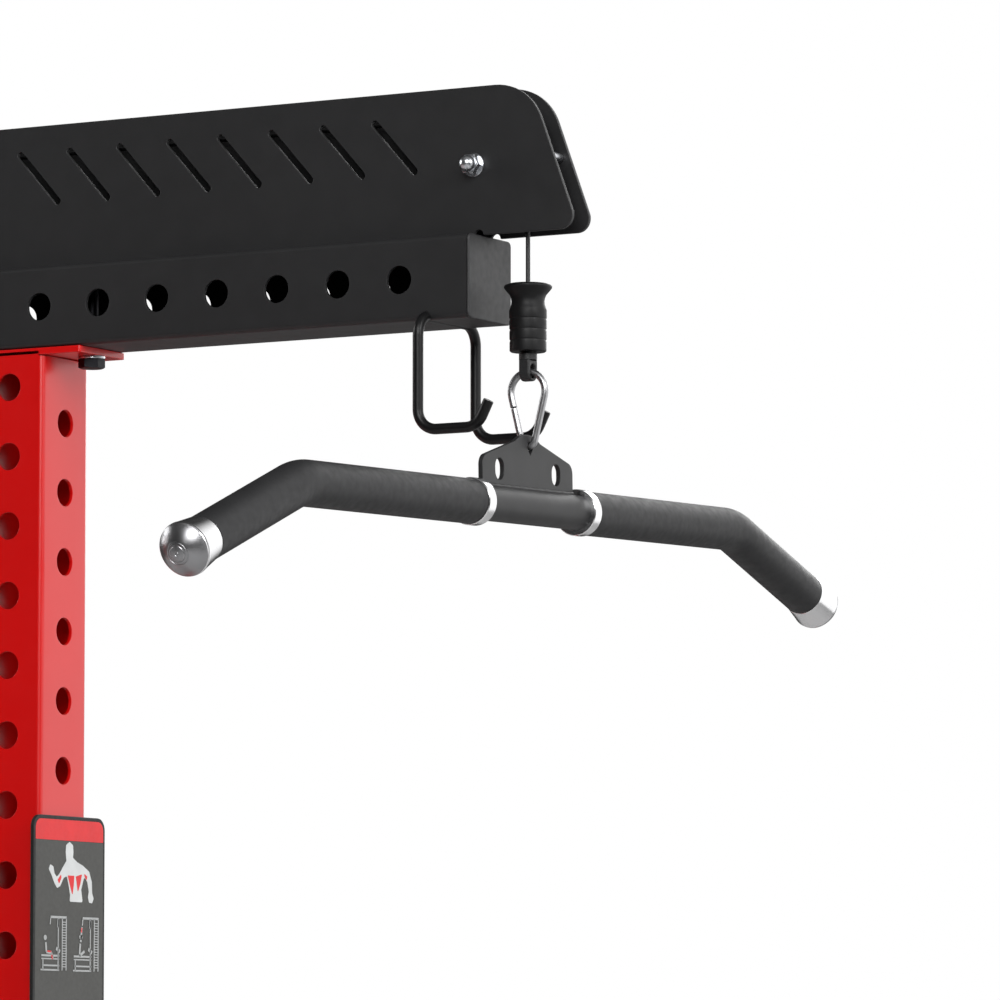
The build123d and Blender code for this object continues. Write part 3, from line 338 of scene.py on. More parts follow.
        for out, tangent, which in faces:
            for depth in (half, inner):
                for a, b in zip(levels, levels[1:]):
                    middle = (a + b) / 2
                    if any(lo < middle < hi for lo, hi in spans[which]):
                        continue
                    strip(out, tangent, [(a, depth), (b, depth)])
            for t in (u_holes, v_holes)[which]:
                border = [(x, -PITCH / 2) for x in across[:-1]]
                border += [(flat, step * k - PITCH / 2) for k in range(m)]
                border += [(-x, -y) for x, y in border]
                spokes = [Vector(p).normalized() for p in border]
                rings = [[o + along * (t + y) + out * half + tangent * x for x, y in border]]
                for more, d in ((0.5, half), (0.15, half - 0.15), (0, half - 0.5), (0, inner)):
                    r = radius + more
                    rings.append([o + along * (t + s.y * r) + out * d + tangent * s.x * r for s in spokes])
                rings.append([o + along * (t + y) + out * inner + tangent * x for x, y in border])
                self.grid(rings)
        for i, (out, tangent, which) in enumerate(faces):
            nxt = faces[(i + 1) % 4][0]
            for depth, r in ((half, CORNER), (inner, CORNER - WALL)):
                centre = out * flat + nxt * flat
                arcs = []
                for t in levels:
                    arcs.append([o + along * t + centre + out * x + nxt * y for x, y in arc(r, 0, pi / 2, 5)])
                self.grid(arcs, False)
            for t in (levels[0], levels[-1]):
                strip(out, tangent, [(t, half), (t, inner)])
                ends = [arc(r, 0, pi / 2, 5, flat, flat) for r in (CORNER, CORNER - WALL)]
                self.grid([[o + along * t + out * x + nxt * y for x, y in end] for end in ends], False)
        return self

    def piece(self, name, finish, replaces=(), body="frame", sharp=38.0, turned=None):
        """Blender object riding on a CAD body; its finish is a slot and a material, and only the material is
        used.
        """
        mesh = bpy.data.meshes.new(name)
        mesh.from_pydata([p * MM for p in self.verts], [], self.faces)
        work = bmesh.new()
        work.from_mesh(mesh)
        bmesh.ops.remove_doubles(work, verts=work.verts, dist=2e-6)
        bmesh.ops.recalc_face_normals(work, faces=work.faces)
        limit = radians(sharp)
        for face in work.faces:
            face.smooth = True
        for e in work.edges:
            if len(e.link_faces) == 2 and e.calc_face_angle(0.0) > limit:
                e.smooth = False
        work.to_mesh(mesh)
        work.free()
        if turned:
            attribute = mesh.attributes.new("from_axis", "FLOAT", "POINT")
            for v in mesh.vertices:
                away = [(v.co - at * MM).cross(axis.normalized()).length for at, axis in turned]
                attribute.data[v.index].value = min(away)
        obj = add_object(name, mesh)
        mesh.materials.append(finish[1])
        weighted = obj.modifiers.new("weighted_normals", "WEIGHTED_NORMAL")
        weighted.keep_sharp = True
        weighted.weight = 90
        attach(obj, body)
        if replaces:
            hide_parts(*replaces)
        return obj


# ---- materials
def srgb(r, g, b):
    """Linear colour from display values of 0 to 255."""
    def channel(c):
        c /= 255
        return c / 12.92 if c <= 0.04045 else ((c + 0.055) / 1.055) ** 2.4
    return (channel(r), channel(g), channel(b), 1.0)


def material(name, colour, roughness, metallic=0.0, specular=0.5, coat=0.0, coat_roughness=0.1):
    mat = bpy.data.materials.new(name)
    mat.use_nodes = True
    for socket, value in (
        ("Base Color", colour), ("Roughness", roughness), ("Metallic", metallic),
        ("Specular IOR Level", specular), ("Coat Weight", coat), ("Coat Roughness", coat_roughness),
    ):
        mat.node_tree.nodes["Principled BSDF"].inputs[socket].default_value = value
    return mat


def node(mat, kind, **values):
    made = mat.node_tree.nodes.new(kind)
    for key, value in values.items():
        if hasattr(made, key):
            setattr(made, key, value)
        else:
            made.inputs[key.replace("_", " ")].default_value = value
    return made


def link(mat, a, b):
    mat.node_tree.links.new(a, b)


def shader_of(mat):
    return mat.node_tree.nodes["Principled BSDF"]


def place(mat):
    return node(mat, "ShaderNodeTexCoord").outputs["Object"]


def noise(mat, scale, detail=3.0):
    tex = node(mat, "ShaderNodeTexNoise", Scale=scale, Detail=detail, Roughness=0.5)
    link(mat, place(mat), tex.inputs["Vector"])
    return tex.outputs["Fac"]


def vary_colour(mat, fac, dark, light, low=0.3, high=0.7):
    ramp = node(mat, "ShaderNodeValToRGB")
    for element, position, colour in zip(ramp.color_ramp.elements, (low, high), (dark, light)):
        element.position = position
        element.color = colour
    link(mat, fac, ramp.inputs["Fac"])
    link(mat, ramp.outputs["Color"], shader_of(mat).inputs["Base Color"])


def remap(mat, value, start, stop, low=0.0, high=1.0, kind="LINEAR"):
    span = node(mat, "ShaderNodeMapRange", From_Min=start, From_Max=stop, To_Min=low, To_Max=high)
    span.interpolation_type = kind
    link(mat, value, span.inputs["Value"])
    return span.outputs["Result"]


def vary_roughness(mat, fac, low, high):
    link(mat, remap(mat, fac, 0.3, 0.7, low, high), shader_of(mat).inputs["Roughness"])


def bump(mat, fac, strength, distance_mm):
    b = node(mat, "ShaderNodeBump", Strength=strength)
    b.inputs["Distance"].default_value = distance_mm * MM
    existing = shader_of(mat).inputs["Normal"]
    if existing.is_linked:
        link(mat, existing.links[0].from_socket, b.inputs["Normal"])
    link(mat, fac, b.inputs["Height"])
    link(mat, b.outputs["Normal"], existing)


def powder(name, dark, light, roughness, specular, grain=900.0, coat=0.0, depth=0.05, peel=0.2):
    """Powder coat: orange peel, fine grain and a slow change of shade."""
    mat = material(name, srgb(*light), roughness, specular=specular, coat=coat, coat_roughness=0.18)
    vary_colour(mat, noise(mat, 5.0, 2.0), srgb(*dark), srgb(*light), 0.2, 0.8)
    vary_roughness(mat, noise(mat, 60.0, 4.0), roughness - 0.02, roughness + 0.03)
    bump(mat, noise(mat, 240.0, 1.0), peel, depth)
    bump(mat, noise(mat, grain, 2.0), 0.35, depth * 0.6)
    return mat


def metal(name, dark, light, roughness, spread=0.06, strength=0.15):
    """Bare metal with fine drawn lines, faint smudges and uneven gloss."""
    mat = material(name, srgb(*light), roughness, metallic=1.0)
    vary_colour(mat, noise(mat, 35.0, 3.0), srgb(*dark), srgb(*light), 0.2, 0.8)
    vary_roughness(mat, noise(mat, 120.0, 5.0), roughness - spread / 2, roughness + spread)
    bump(mat, noise(mat, 900.0, 2.0), strength, 0.02)
    return mat


def turned_metal(name, dark, light, roughness, pitch=0.55):
    """Metal with concentric tool marks, from each point's distance to the turning axis."""
    mat = metal(name, dark, light, roughness)
    attribute = node(mat, "ShaderNodeAttribute", attribute_name="from_axis")
    scaled = node(mat, "ShaderNodeMath", operation="MULTIPLY")
    scaled.inputs[1].default_value = 2 * pi / (pitch * MM)
    wave = node(mat, "ShaderNodeMath", operation="SINE")
    link(mat, attribute.outputs["Fac"], scaled.inputs[0])
    link(mat, scaled.outputs[0], wave.inputs[0])
    bump(mat, wave.outputs[0], 0.35, 0.02)
    return mat


def plastic(name, dark, light, roughness, grain=1400.0, specular=0.45, depth=0.03):
    """Moulded plastic or rubber with a fine spark-eroded grain."""
    mat = material(name, srgb(*light), roughness, specular=specular)
    vary_colour(mat, noise(mat, 30.0, 4.0), srgb(*dark), srgb(*light))
    vary_roughness(mat, noise(mat, 180.0, 4.0), roughness - 0.06, roughness + 0.07)
    bump(mat, noise(mat, grain, 2.0), 0.3, depth)
    return mat


BLACK = "black_coat", powder("black_powder_coat", (31, 31, 32), (35, 35, 36), 0.47, 0.42)
ENAMEL = "black_coat", powder("black_rod_coat", (13, 13, 14), (17, 17, 18), 0.36, 0.3)
RED = "red_coat", powder("red_powder_coat", (206, 6, 6), (212, 7, 7), 0.3, 0.5, 700.0, 0.35, 0.02, 0.06)
CAP = "black_plastic", plastic("black_moulded_plastic", (36, 36, 37), (46, 46, 47), 0.5)
NYLON = "pulley_nylon", plastic("black_turned_nylon", (26, 26, 27), (34, 34, 35), 0.36, grain=700.0)
STOPPER = "black_plastic", plastic("stopper_rubber", (14, 14, 15), (18, 18, 19), 0.46, 1000.0, 0.25)
LINER = "bushing_plastic", plastic("liner_plastic", (205, 202, 190), (222, 219, 208), 0.45)
RUBBER = "rubber", plastic("black_rubber", (30, 30, 30), (40, 40, 40), 0.7, 800.0, 0.3, 0.06)
GRIP = "grip_rubber", plastic("grip_rubber", (36, 36, 37), (40, 40, 41), 0.5, 1600.0, 0.25)
ZINC = "zinc_steel", metal("bright_zinc", (196, 198, 202), (222, 224, 228), 0.26)
CHROME = "chrome", metal("polished_chrome", (214, 216, 220), (232, 233, 236), 0.08, 0.05, 0.05)
WIRE = "satin_steel", metal("polished_wire", (158, 158, 159), (178, 178, 180), 0.34, 0.04, 0.05)
DOME = "satin_steel", turned_metal("brushed_dome", (150, 150, 152), (172, 172, 174), 0.3)
COLLAR = "satin_steel", metal("collar_steel", (222, 222, 223), (236, 236, 237), 0.2, 0.04, 0.05)
STEEL = "satin_steel", turned_metal("bearing_steel", (150, 150, 154), (190, 190, 194), 0.28, pitch=0.8)
OXIDE = "dark_steel", metal("black_oxide_steel", (30, 30, 32), (44, 44, 47), 0.42)
ROPE = "cable", plastic("cable_sheath", (34, 34, 35), (44, 44, 45), 0.4, grain=900.0)
BRONZE = "bushing_plastic", plastic("bushing_plastic", (198, 195, 184), (216, 213, 203), 0.5)


def printed(name, display, roughness):
    """Ink on the placard: slight unevenness in tone and gloss."""
    colour = srgb(*display)
    shade = tuple(c * 0.88 for c in colour[:3]) + (1.0,)
    mat = material(name, colour, roughness, specular=0.5)
    vary_colour(mat, noise(mat, 70.0, 4.0), shade, colour)
    vary_roughness(mat, noise(mat, 300.0, 3.0), roughness - 0.05, roughness + 0.06)
    bump(mat, noise(mat, 1500.0, 2.0), 0.15, 0.02)
    return "placard", mat


PANEL_EDGE = printed("placard_border", (8, 10, 10), 0.6)
PANEL_GREY = printed("placard_field", (62, 62, 59), 0.5)
PANEL_RED = printed("placard_red", (222, 14, 22), 0.45)
PANEL_WHITE = printed("placard_white", (214, 216, 216), 0.5)
PANEL_LINE = printed("placard_lines", (172, 174, 174), 0.5)


# ---- uprights, column and arm
def foot(shape, x, y, length, width, holes, z, thick):
    outline = rectangle(length / 2, width / 2, 8)
    shape.plate([outline] + [circle(hx, hy, 6.5, 32) for hx, hy in holes], pt(x, y, z), X, Y, thick, 0.6)


def weld(shape, at, u, v, outline, leg=4.0):
    """Fillet weld bead round a tube's outline, standing on the plane through u and v."""
    normal = u.cross(v)
    rings = []
    for k in range(5):
        a = pi / 2 * k / 4
        out = leg * (1 - sin(a))
        rise = normal * (leg * (1 - cos(a)))
        rings.append([at + u * x + v * y + rise for x, y in inset(outline, -out - 0.01)])
    shape.grid(rings)
    return shape


tube_outline = rectangle(30, 30, CORNER, 5)
uprights = {}
for end, x in (("front", FRONT_X), ("rear", REAR_X)):
    for side, y in SIDES:
        uprights["upright_%s_%s" % (end, side)] = (x, y)
tube_top = TOP - 2
COLUMN_TOP = TOP - TUBE - 5
UPRIGHT_FOOT = (120, 100, [(-45, 0), (45, 0)])
COLUMN_FOOT = (120, 320, [(0, -130), (0, 130)])


def post(x, y, top, foot_size, m):
    start = pt(x, y, FOOT_TOP)
    rows = [[row - FOOT_TOP for row in level] for level in (FRONT_ROWS, SIDE_ROWS)]
    shape = Shape().square_tube(start, Z, X, top - FOOT_TOP, *rows, m=m)
    foot(shape, x, y, *foot_size, 4, 8)
    return weld(shape, start, X, Y, tube_outline)


for label, (x, y) in uprights.items():
    post(x, y, tube_top, UPRIGHT_FOOT, 8).piece(label + "_tube", RED, [label])
shape = post(COLUMN_X, 0, COLUMN_TOP, COLUMN_FOOT, 14)
flange = [rectangle(62, 30, 2, 4)] + [circle(x, 0, 5.5, 32) for x in (-52.5, 52.5)]
shape.plate(flange, pt(COLUMN_X, 0, COLUMN_TOP), X, Y, 5, 0.7)
shape.piece("lat_column_tube", RED, ["lat_column"])

ARM_START = REAR_X + TUBE / 2 + END_PLATE
arm_length = END - 2 - ARM_START
arm_holes = [END - 57.1 - PITCH * k - ARM_START for k in range(13, -1, -1)]
shape = Shape().square_tube(pt(ARM_START, 0, TOP - 30), X, Z, arm_length, (), arm_holes, m=16)
cross_plate = [rectangle(75, 30, 2, 3)] + [circle(y, 0, 6.3, 32) for y in (-50, 50)]
shape.plate(cross_plate, pt(REAR_X + 30, 0, TOP - 30), Y, Z, END_PLATE, 0.5)
shape.piece("arm_tube", BLACK, ["arm_beam"])

cap_outline = rectangle(30, 30, CORNER, 6)
shape = Shape().plate([cap_outline], arm(-2, 0, -30), Y, Z, 2, 0.9, 4)
plug = rectangle(27.2, 27.2, 1.2, 3)
shape.plate([plug], arm(-14, 0, -30), Y, Z, 12.1, 0.3, 2)
shape.piece("arm_cap", CAP, ["arm_end_cap"])

shape = Shape()
for x, y in uprights.values():
    shape.plate([cap_outline], pt(x, y, tube_top), X, Y, 2, 0.9, 4)
    shape.plate([plug], pt(x, y, tube_top - 18), X, Y, 18.1, 0.3, 2)
shape.piece("upright_caps", CAP, ["upright_top_caps"])

shape = Shape()
for x, y in uprights.values():
    foot(shape, x, y, *UPRIGHT_FOOT, 0, 4)
foot(shape, COLUMN_X, 0, *COLUMN_FOOT, 0, 4)
shape.piece("rubber_foot_pads", RUBBER, ["foot_pads"])

# ---- guard plates, pulleys and axles
LEAN = radians(20.2)
nose_top = 78.2 - 106 * tan(LEAN)
guard_outline = rounded([(-690, 0), (78.2, 0), (nose_top, 106), (-690, 106)], [0, 10, 40, 30], 12)
notched = []
for p in guard_outline:
    notched.append(p)
    if p == guard_outline[0]:
        notched += arc(3.8, pi, 0, 12, -1.6)
guard_loops = [notched, circle(-5.5, 50, 4.25, 32), circle(-600, 50, 4.25, 32)]
guard_loops += [slot_outline(-70.6 - 43.3 * k, 67.2, 54.0, 5.5, radians(-47.95)) for k in range(8)]
for label, y in (("guard_plate_right", -10.5), ("guard_plate_left", 13.5)):
    Shape().plate(guard_loops, arm(0, y, 0), X, Z, 3.0, 0.45).piece(label + "_sheet", BLACK, [label])

shape = Shape()
for x, z, r in ((-150, 20, 5), (-270, 20, 5), (-520, 20, 5), (50, 54, 3.5), (-656, 54, 3.5)):
    shape.lathe(ring_profile(0, r, -10.5, 10.5, 0.4), arm(x, 0, z), Y, 32)
shape.piece("guard_standoffs", ZINC, ["guard_spacers"])

CABLE = 1.6
WRAP = 36.1
GROOVE = WRAP - CABLE - 0.3
wheel = [
    (11, -4.6), (11.4, -5), (19.5, -5), (20.4, -4.6), (23.6, -3), (30, -3), (31, -3.4), (32.6, -8.4),
    (33.4, -9), (41, -9), (41.7, -8.7), (42, -8), (42, -5.6), (41.7, -5.0), (GROOVE + 0.5, -2.2),
    (GROOVE, -1.2),
]
wheel = wheel + [(r, -t) for r, t in reversed(wheel)]
bearing = [
    (4.05, -3.1), (4.4, -3.5), (6.4, -3.5), (6.6, -3.2), (8.6, -3.2), (8.8, -3.5), (10.6, -3.5), (11, -3.1),
]
bearing = bearing + [(r, -t) for r, t in reversed(bearing)]
axles = {"front": arm(-5.5, 0, 50), "rear": arm(-600, 0, 50)}
for label, at in axles.items():
    rides = {"body": label + "_wheel", "turned": [(at, Y)]}
    Shape().lathe(wheel, at, Y, 96, True).piece(label + "_sheave", NYLON, [label + "_pulley"], **rides)
    shape = Shape().lathe(bearing, at, Y, 64, True)
    shape.piece(label + "_bearing", STEEL, [label + "_pulley_bearing"], **rides)
sleeves, washers, bolts, nuts = Shape(), Shape(), Shape(), Shape()
for at in axles.values():
    for side in (1, -1):
        sleeves.lathe(ring_profile(4.1, 7, 3.8, 10.5, 0.3), at, Y * side, 40, True)
        washers.lathe(ring_profile(4.1, 8.4, 13.5, 15, 0.3), at, Y * side, 48, True)
    bolts.hexagon(at + Y * 15, Y, 13, 5.3, 0.3)
    bolts.lathe([(0, -21.5), (3.7, -21.5), (4, -21.1), (4, 15), (0, 15)], at, Y, 32)
    nuts.hexagon(at - Y * 15, -Y, 13, 6.5, 0.15)
    nuts.lathe([(5.9, 21.4)] + arc(5.9, 0, pi / 2, 8, 0, 22.6), at, -Y, 40)
sleeves.piece("axle_sleeves", ("black_plastic", NYLON[1]), ["pulley_side_spacers"])
washers.piece("axle_washers", ZINC, ["pulley_axle_washers"])
bolts.piece("axle_bolts", ZINC, ["pulley_axle_bolts"])
nuts.piece("axle_cap_nuts", ZINC, ["pulley_axle_cap_nuts"])

# ---- cable
STOPPER_TOP = TOP - 34.5
AXLE = TOP + 50
CARRIAGE_LUG = 410.0

over = [axles["front"] + pt(x, 0, z) for x, z in arc(WRAP, 0, pi / 2, 24)]
over += [axles["rear"] + pt(x, 0, z) for x, z in arc(WRAP, pi / 2, pi, 24)]
Shape().sweep(over, CABLE, 20).piece("cable_over_pulleys", ROPE, ["cable_top_run"])
for label, x, low, inside, rings, body, stands_for in (
    ("cable_to_bar", HANG_X, STOPPER_TOP, 15, 80, "cable_end", "cable_front_run"),
    ("cable_to_carriage", LIFT_X, CARRIAGE_LUG, 12, 300, "carriage", "cable_rear_run"),
):
    path = [pt(x, 0, low - inside + (AXLE - low + inside) * k / rings) for k in range(rings + 1)]
    run = Shape().sweep(path, CABLE, 20).piece(label, ROPE, [stands_for])
    run.modifiers.clear()
    run.parent = None
    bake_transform(run)

# ---- stopper, lug, carabiner and hanger
hang = arm(30.6, 0, 0)
profile = [
    (1.7, -34.5), (8, -34.6), (14, -35.3), (16.4, -36.2), (17, -37), (16.9, -38), (15.9, -39.5),
    (14.4, -41.2), (12.9, -43), (12, -45.2), (11.7, -47.6), (11.9, -50), (12.6, -52.2),
]
for wide, low, high in ((13.3, -54, -59.3), (13.2, -61.5, -66.8), (13.1, -69, -74.3), (13, -76.5, -82.5)):
    profile += [(wide, low), (wide, high), (wide - 0.5, high - 0.6), (wide - 0.5, high - 0.9)]
profile = profile[:-2] + [(12.2, -83.3), (4.05, -83.3), (4.05, -73), (6.8, -73), (6.8, -68), (1.7, -60)]
shape = Shape().lathe(profile, hang, Z, 96, True)
shape.piece("rubber_stopper", STOPPER, ["cable_stopper"], body="cable_end", sharp=50)

LUG_R = 6.4
LUG_LOW = -104.0
lug_profile = [
    (0, -69.3), (6, -69.3), (6.4, -69.7), (6.4, -72.3), (6, -72.7), (4, -72.7), (4, -84.2), (5.9, -84.2),
    (LUG_R, -84.7), (LUG_R, -89),
]
lug = Shape().lathe(lug_profile, hang, Z, 64)
# The eye: a flattened ring under the turned neck
eye = [(-LUG_R, -88.6), (-LUG_R, LUG_LOW), (LUG_R, LUG_LOW), (LUG_R, -88.6)]
outer = rounded(eye, [1.2, 5.6, 5.6, 1.2], 10)
inner = slot_outline(0, -96.9, 10.0, 6.6, pi / 2, 12)
lug.plate([outer, inner], hang - X * 4.2, Y, Z, 8.4, 1.3, 4)
lug.piece("cable_lug", ("dark_steel", BLACK[1]), ["cable_end_lug"], body="swivel")

WIRE_R = 2.5
HIGH_R, LOW_R = 13.6, 5.5
ring_high, ring_low = -97.4 - HIGH_R, -150 + LOW_R
lean = asin((HIGH_R - LOW_R) / (ring_high - ring_low))
high_tangent = (HIGH_R * cos(lean), ring_high - HIGH_R * sin(lean))
low_tangent = (LOW_R * cos(lean), ring_low - LOW_R * sin(lean))


def leg(side, share):
    x = high_tangent[0] + (low_tangent[0] - high_tangent[0]) * share
    z = high_tangent[1] + (low_tangent[1] - high_tangent[1]) * share
    return hang + pt(side * x, 0, z)


GATE_START, GATE_HINGE = 0.26, 0.82
ring_path = [leg(-1, GATE_START - 0.02), leg(-1, 0.1)]
ring_path += [hang + pt(x, 0, z) for x, z in arc(HIGH_R, pi + lean, -lean, 24, 0, ring_high)]
ring_path += [leg(1, k / 6) for k in range(1, 6)]
ring_path += [hang + pt(x, 0, z) for x, z in arc(LOW_R, -lean, lean - pi, 16, 0, ring_low)]
ring_path.append(leg(-1, GATE_HINGE + 0.1))
carabiner = Shape().sweep(ring_path, WIRE_R, 32, 0.5)
carabiner.piece("carabiner_ring", WIRE, ["carabiner_body"], body="swivel")
latch_path = [leg(-1, share) for share in (GATE_START, 0.45, 0.65, GATE_HINGE + 0.05)]
gate = Shape().sweep(latch_path, WIRE_R - 0.2, 32, 0.6)
gate.lathe(ring_profile(0, 1.3, -2.9, 2.9, 0.3), leg(-1, GATE_HINGE), Y, 24)
gate.piece("carabiner_latch", WIRE, ["carabiner_gate"], body="gate")

TILT = radians(1.58)
along = pt(0, cos(TILT), sin(TILT))
up = pt(0, -sin(TILT), cos(TILT))
SHIFT = 3.5                 # the bar's middle is this far towards -Y from the hole it hangs by
wire_centre = arm(30.6, 0, -150) - along * SHIFT
BAR = 150 - 192.7


def bar_point(s, h):
    return wire_centre + along * s + up * h


left_side = [(-64, BAR + 11.5), (64, BAR + 11.5), (64, BAR + 32.5), (18, BAR + 45.3)]
crown = []
for k in range(1, 12):
    radius = (18 ** 2 + 5.3 ** 2) / (2 * 5.3)
    turn = asin(18 / radius) * (1 - 2 * k / 12)
    crown.append((radius * sin(turn), BAR + 50.6 - radius * (1 - cos(turn))))
outline = rounded(left_side + [(-18, BAR + 45.3), (-64, BAR + 32.5)], [0, 0, 8, 0, 0, 8], 8)
cut = [i for i, p in enumerate(outline) if abs(p[0] - 18) < 1e-6 and abs(p[1] - BAR - 45.3) < 1e-6][0]
outline = outline[: cut + 1] + crown + outline[cut + 1:]
tear = arc(3.7, radians(-25), radians(205), 24, SHIFT, -0.6) + [(SHIFT, -6.6)]
slots = [slot_outline(x, BAR + 24.6, 15.4, 12, pi / 2) for x in (-40, 40)]
hanger = Shape().plate([outline] + slots + [tear], wire_centre - X * 1.8, along, up, 3.6, 0.4)
# weld beads where the plate stands on the bar
for side in (1, -1):
    bead = [bar_point(s, BAR + 12.4) + X * side * 2.0 for s in range(-62, 63, 4)]
    hanger.sweep(bead, [1.6 + 0.25 * sin(i * 2.1) for i in range(len(bead))], 10)
hanger.piece("hanger_sheet", BLACK, ["hanger_plate"], body="lat_bar")

# ---- lat bar
BEND = radians(20.06)
STRAIGHT = 305.0
SLOPE = 126.5


def bar_end(side, length=SLOPE):
    return bar_point(side * (STRAIGHT + length * cos(BEND)), BAR - length * sin(BEND))


bends = [bar_point(side * STRAIGHT, BAR) for side in (-1, 1)]
bar_path = fillet_path([bar_end(-1, SLOPE + 18), *bends, bar_end(1, SLOPE + 18)], 60, 16)
Shape().sweep(bar_path, 12.5, 64).piece("bar_tube", BLACK, ["lat_bar_tube"], body="lat_bar")
grips, collars, caps, domes = Shape(), Shape(), Shape(), Shape()
cap_axes = []
RIM, RISE, CAP_TOP = 18.0, 9.0, 32.0
SPHERE = (RIM ** 2 + RISE ** 2) / (2 * RISE)


def dome_level(r):
    return CAP_TOP - SPHERE + sqrt(SPHERE ** 2 - r ** 2)


for side in (-1, 1):
    path = fillet_path([bar_point(side * 80, BAR), bar_point(side * STRAIGHT, BAR), bar_end(side)], 60, 20)
    grips.sweep(path, 15.7, 80, 0.8)
    collars.lathe(ring_profile(12.6, 16.6, 0, 10, 0.6), bar_point(side * 70, BAR), along * side, 80, True)
    outward = (bar_end(side) - bar_point(side * STRAIGHT, BAR)).normalized()
    cap_axes.append((bar_end(side), outward))
    sleeve = [(12.6, 0.2), (15.5, 0.2), (15.7, 0.5), (15.9, 1.0)]
    sleeve += [(15.9 + 2.3 * k / 8, 1.0 + 18.4 * k / 8) for k in range(1, 9)]
    sleeve += [(18.4, 20.2), (18.4, 21.2), (17.6, 21.5), (17.3, 22.1)]
    caps.lathe(sleeve, bar_end(side), outward, 96)
    dome = [(17.3, 22.0), (17.6, 22.5), (RIM, 23.0)]
    for k in range(1, 13):
        r = RIM - (RIM - 7.9) * k / 12
        dome.append((r, dome_level(r)))
    for r, sunk in (
        (7.6, 0.3), (7.1, 0.3), (6.8, 0), (5.9, 0), (5.6, 0.22), (5.2, 0.22), (4.9, 0), (3.2, 0), (1.9, 0),
        (1.5, 0.4), (0.9, 0.4), (0.5, 0.1), (0, 0.1),
    ):
        dome.append((r, dome_level(r) - sunk))
    domes.lathe(dome, bar_end(side), outward, 96)
grips.piece("bar_grips", GRIP, ["lat_bar_grips"], body="lat_bar")
collars.piece("bar_collars", COLLAR, ["lat_bar_collars"], body="lat_bar")
caps.piece("bar_cap_sleeves", COLLAR, ["lat_bar_end_caps"], body="lat_bar")
domes.piece("bar_cap_domes", DOME, body="lat_bar", sharp=25, turned=cap_axes)

# ---- bar rest hooks
ROD = 3.8
HOOK_BACK, HOOK_TIP = -35.1, 22.1
HOOK_LOW, HOOK_HIGH, HOOK_TIP_LEVEL = -138.6, -57.0, -120.5
HOOK_SIDE = 40.5
tip_lean = radians(63)
corner_x = HOOK_TIP - (HOOK_TIP_LEVEL - HOOK_LOW) / tan(tip_lean)
near = [
    arm(HOOK_TIP, -HOOK_SIDE, HOOK_TIP_LEVEL), arm(corner_x, -HOOK_SIDE, HOOK_LOW),
    arm(HOOK_BACK, -HOOK_SIDE, HOOK_LOW), arm(HOOK_BACK, -HOOK_SIDE, HOOK_HIGH),
]
far = [pt(p.x, -p.y, p.z) for p in reversed(near)]
shape = Shape().sweep(fillet_path(near + far, 14.7, 14), ROD, 32, 0.7)
shape.piece("rest_hooks", ENAMEL, ["bar_rest_hooks"])

# ---- flange fasteners
washers, bolts = Shape(), Shape()
for offset in (-52.5, 52.5):
    at = pt(COLUMN_X + offset, 0, COLUMN_TOP)
    washers.lathe(ring_profile(5.1, 10, -2, 0, 0.3), at, Z, 48, True)
    bolts.hexagon(at - Z * 2, -Z, 17, 7, 0.25)
    bolts.lathe([(0, -2), (5, -2), (5, 73.6), (4.6, 74), (0, 74)], at, Z, 32)
    bolts.hexagon(at + Z * 65, Z, 17, 7, 0.1)
washers.piece("flange_washers", ZINC, ["arm_flange_washers"])
bolts.piece("flange_bolts", OXIDE, ["arm_flange_bolts"])

# ---- rails, crossmembers and pull-up bar
SIDE_HIGH, FRONT_HIGH = SIDE_ROWS[:2], FRONT_ROWS[:2]
SIDE_LOW, FRONT_LOW = SIDE_ROWS[-2:], FRONT_ROWS[-2:]
BASE_LEVEL = FOOT_TOP + TUBE / 2
TOP_LEVEL = TOP - TUBE / 2
RAIL_START, RAIL_END = FRONT_X + TUBE / 2, REAR_X - TUBE / 2
CROSS_HALF = HALF_WIDTH - TUBE / 2
TOWER_START, TOWER_END = REAR_X + TUBE / 2, COLUMN_X - TUBE / 2
side_span = (SIDE_ROWS[1] - 30, tube_top)
top_span = (FRONT_ROWS[1] - 30, tube_top)
low_span = (FOOT_TOP, FRONT_ROWS[-2] + 30)


def end_plate(shape, at, across, span, rows):
    """Bolted end plate whose lower face is at the point; its width runs along the second axis."""
    low, high = span
    loops = [rounded([(-28, low), (28, low), (28, high), (-28, high)], [1.5] * 4, 3)]
    loops += [circle(0, row, 8.25, 32) for row in rows]
    axes = (Y, Z)
    if across == X:
        loops = [[(z, x) for x, z in loop] for loop in loops]
        axes = (Z, X)
    shape.plate(loops, pt(at.x, at.y, 0), *axes, END_PLATE, 0.5)


def weld_ends(shape, start, stop, u, v, outline=tube_outline):
    weld(shape, start, u, v, outline)
    weld(shape, stop, v, u, outline)


for tier, level, span, rows in (
    ("top", TOP_LEVEL, top_span, FRONT_HIGH), ("base", BASE_LEVEL, low_span, FRONT_LOW),
):
    for side, y in SIDES:
        start, stop = pt(RAIL_START + END_PLATE, y, level), pt(RAIL_END - END_PLATE, y, level)
        shape = Shape().square_tube(start, X, Z, stop.x - start.x)
        end_plate(shape, pt(RAIL_START, y, 0), Y, span, rows)
        end_plate(shape, stop, Y, span, rows)
        weld_ends(shape, start, stop, Y, Z)
        label = tier + "_side_rail_" + side
        shape.piece(label + "_tube", BLACK, [label])

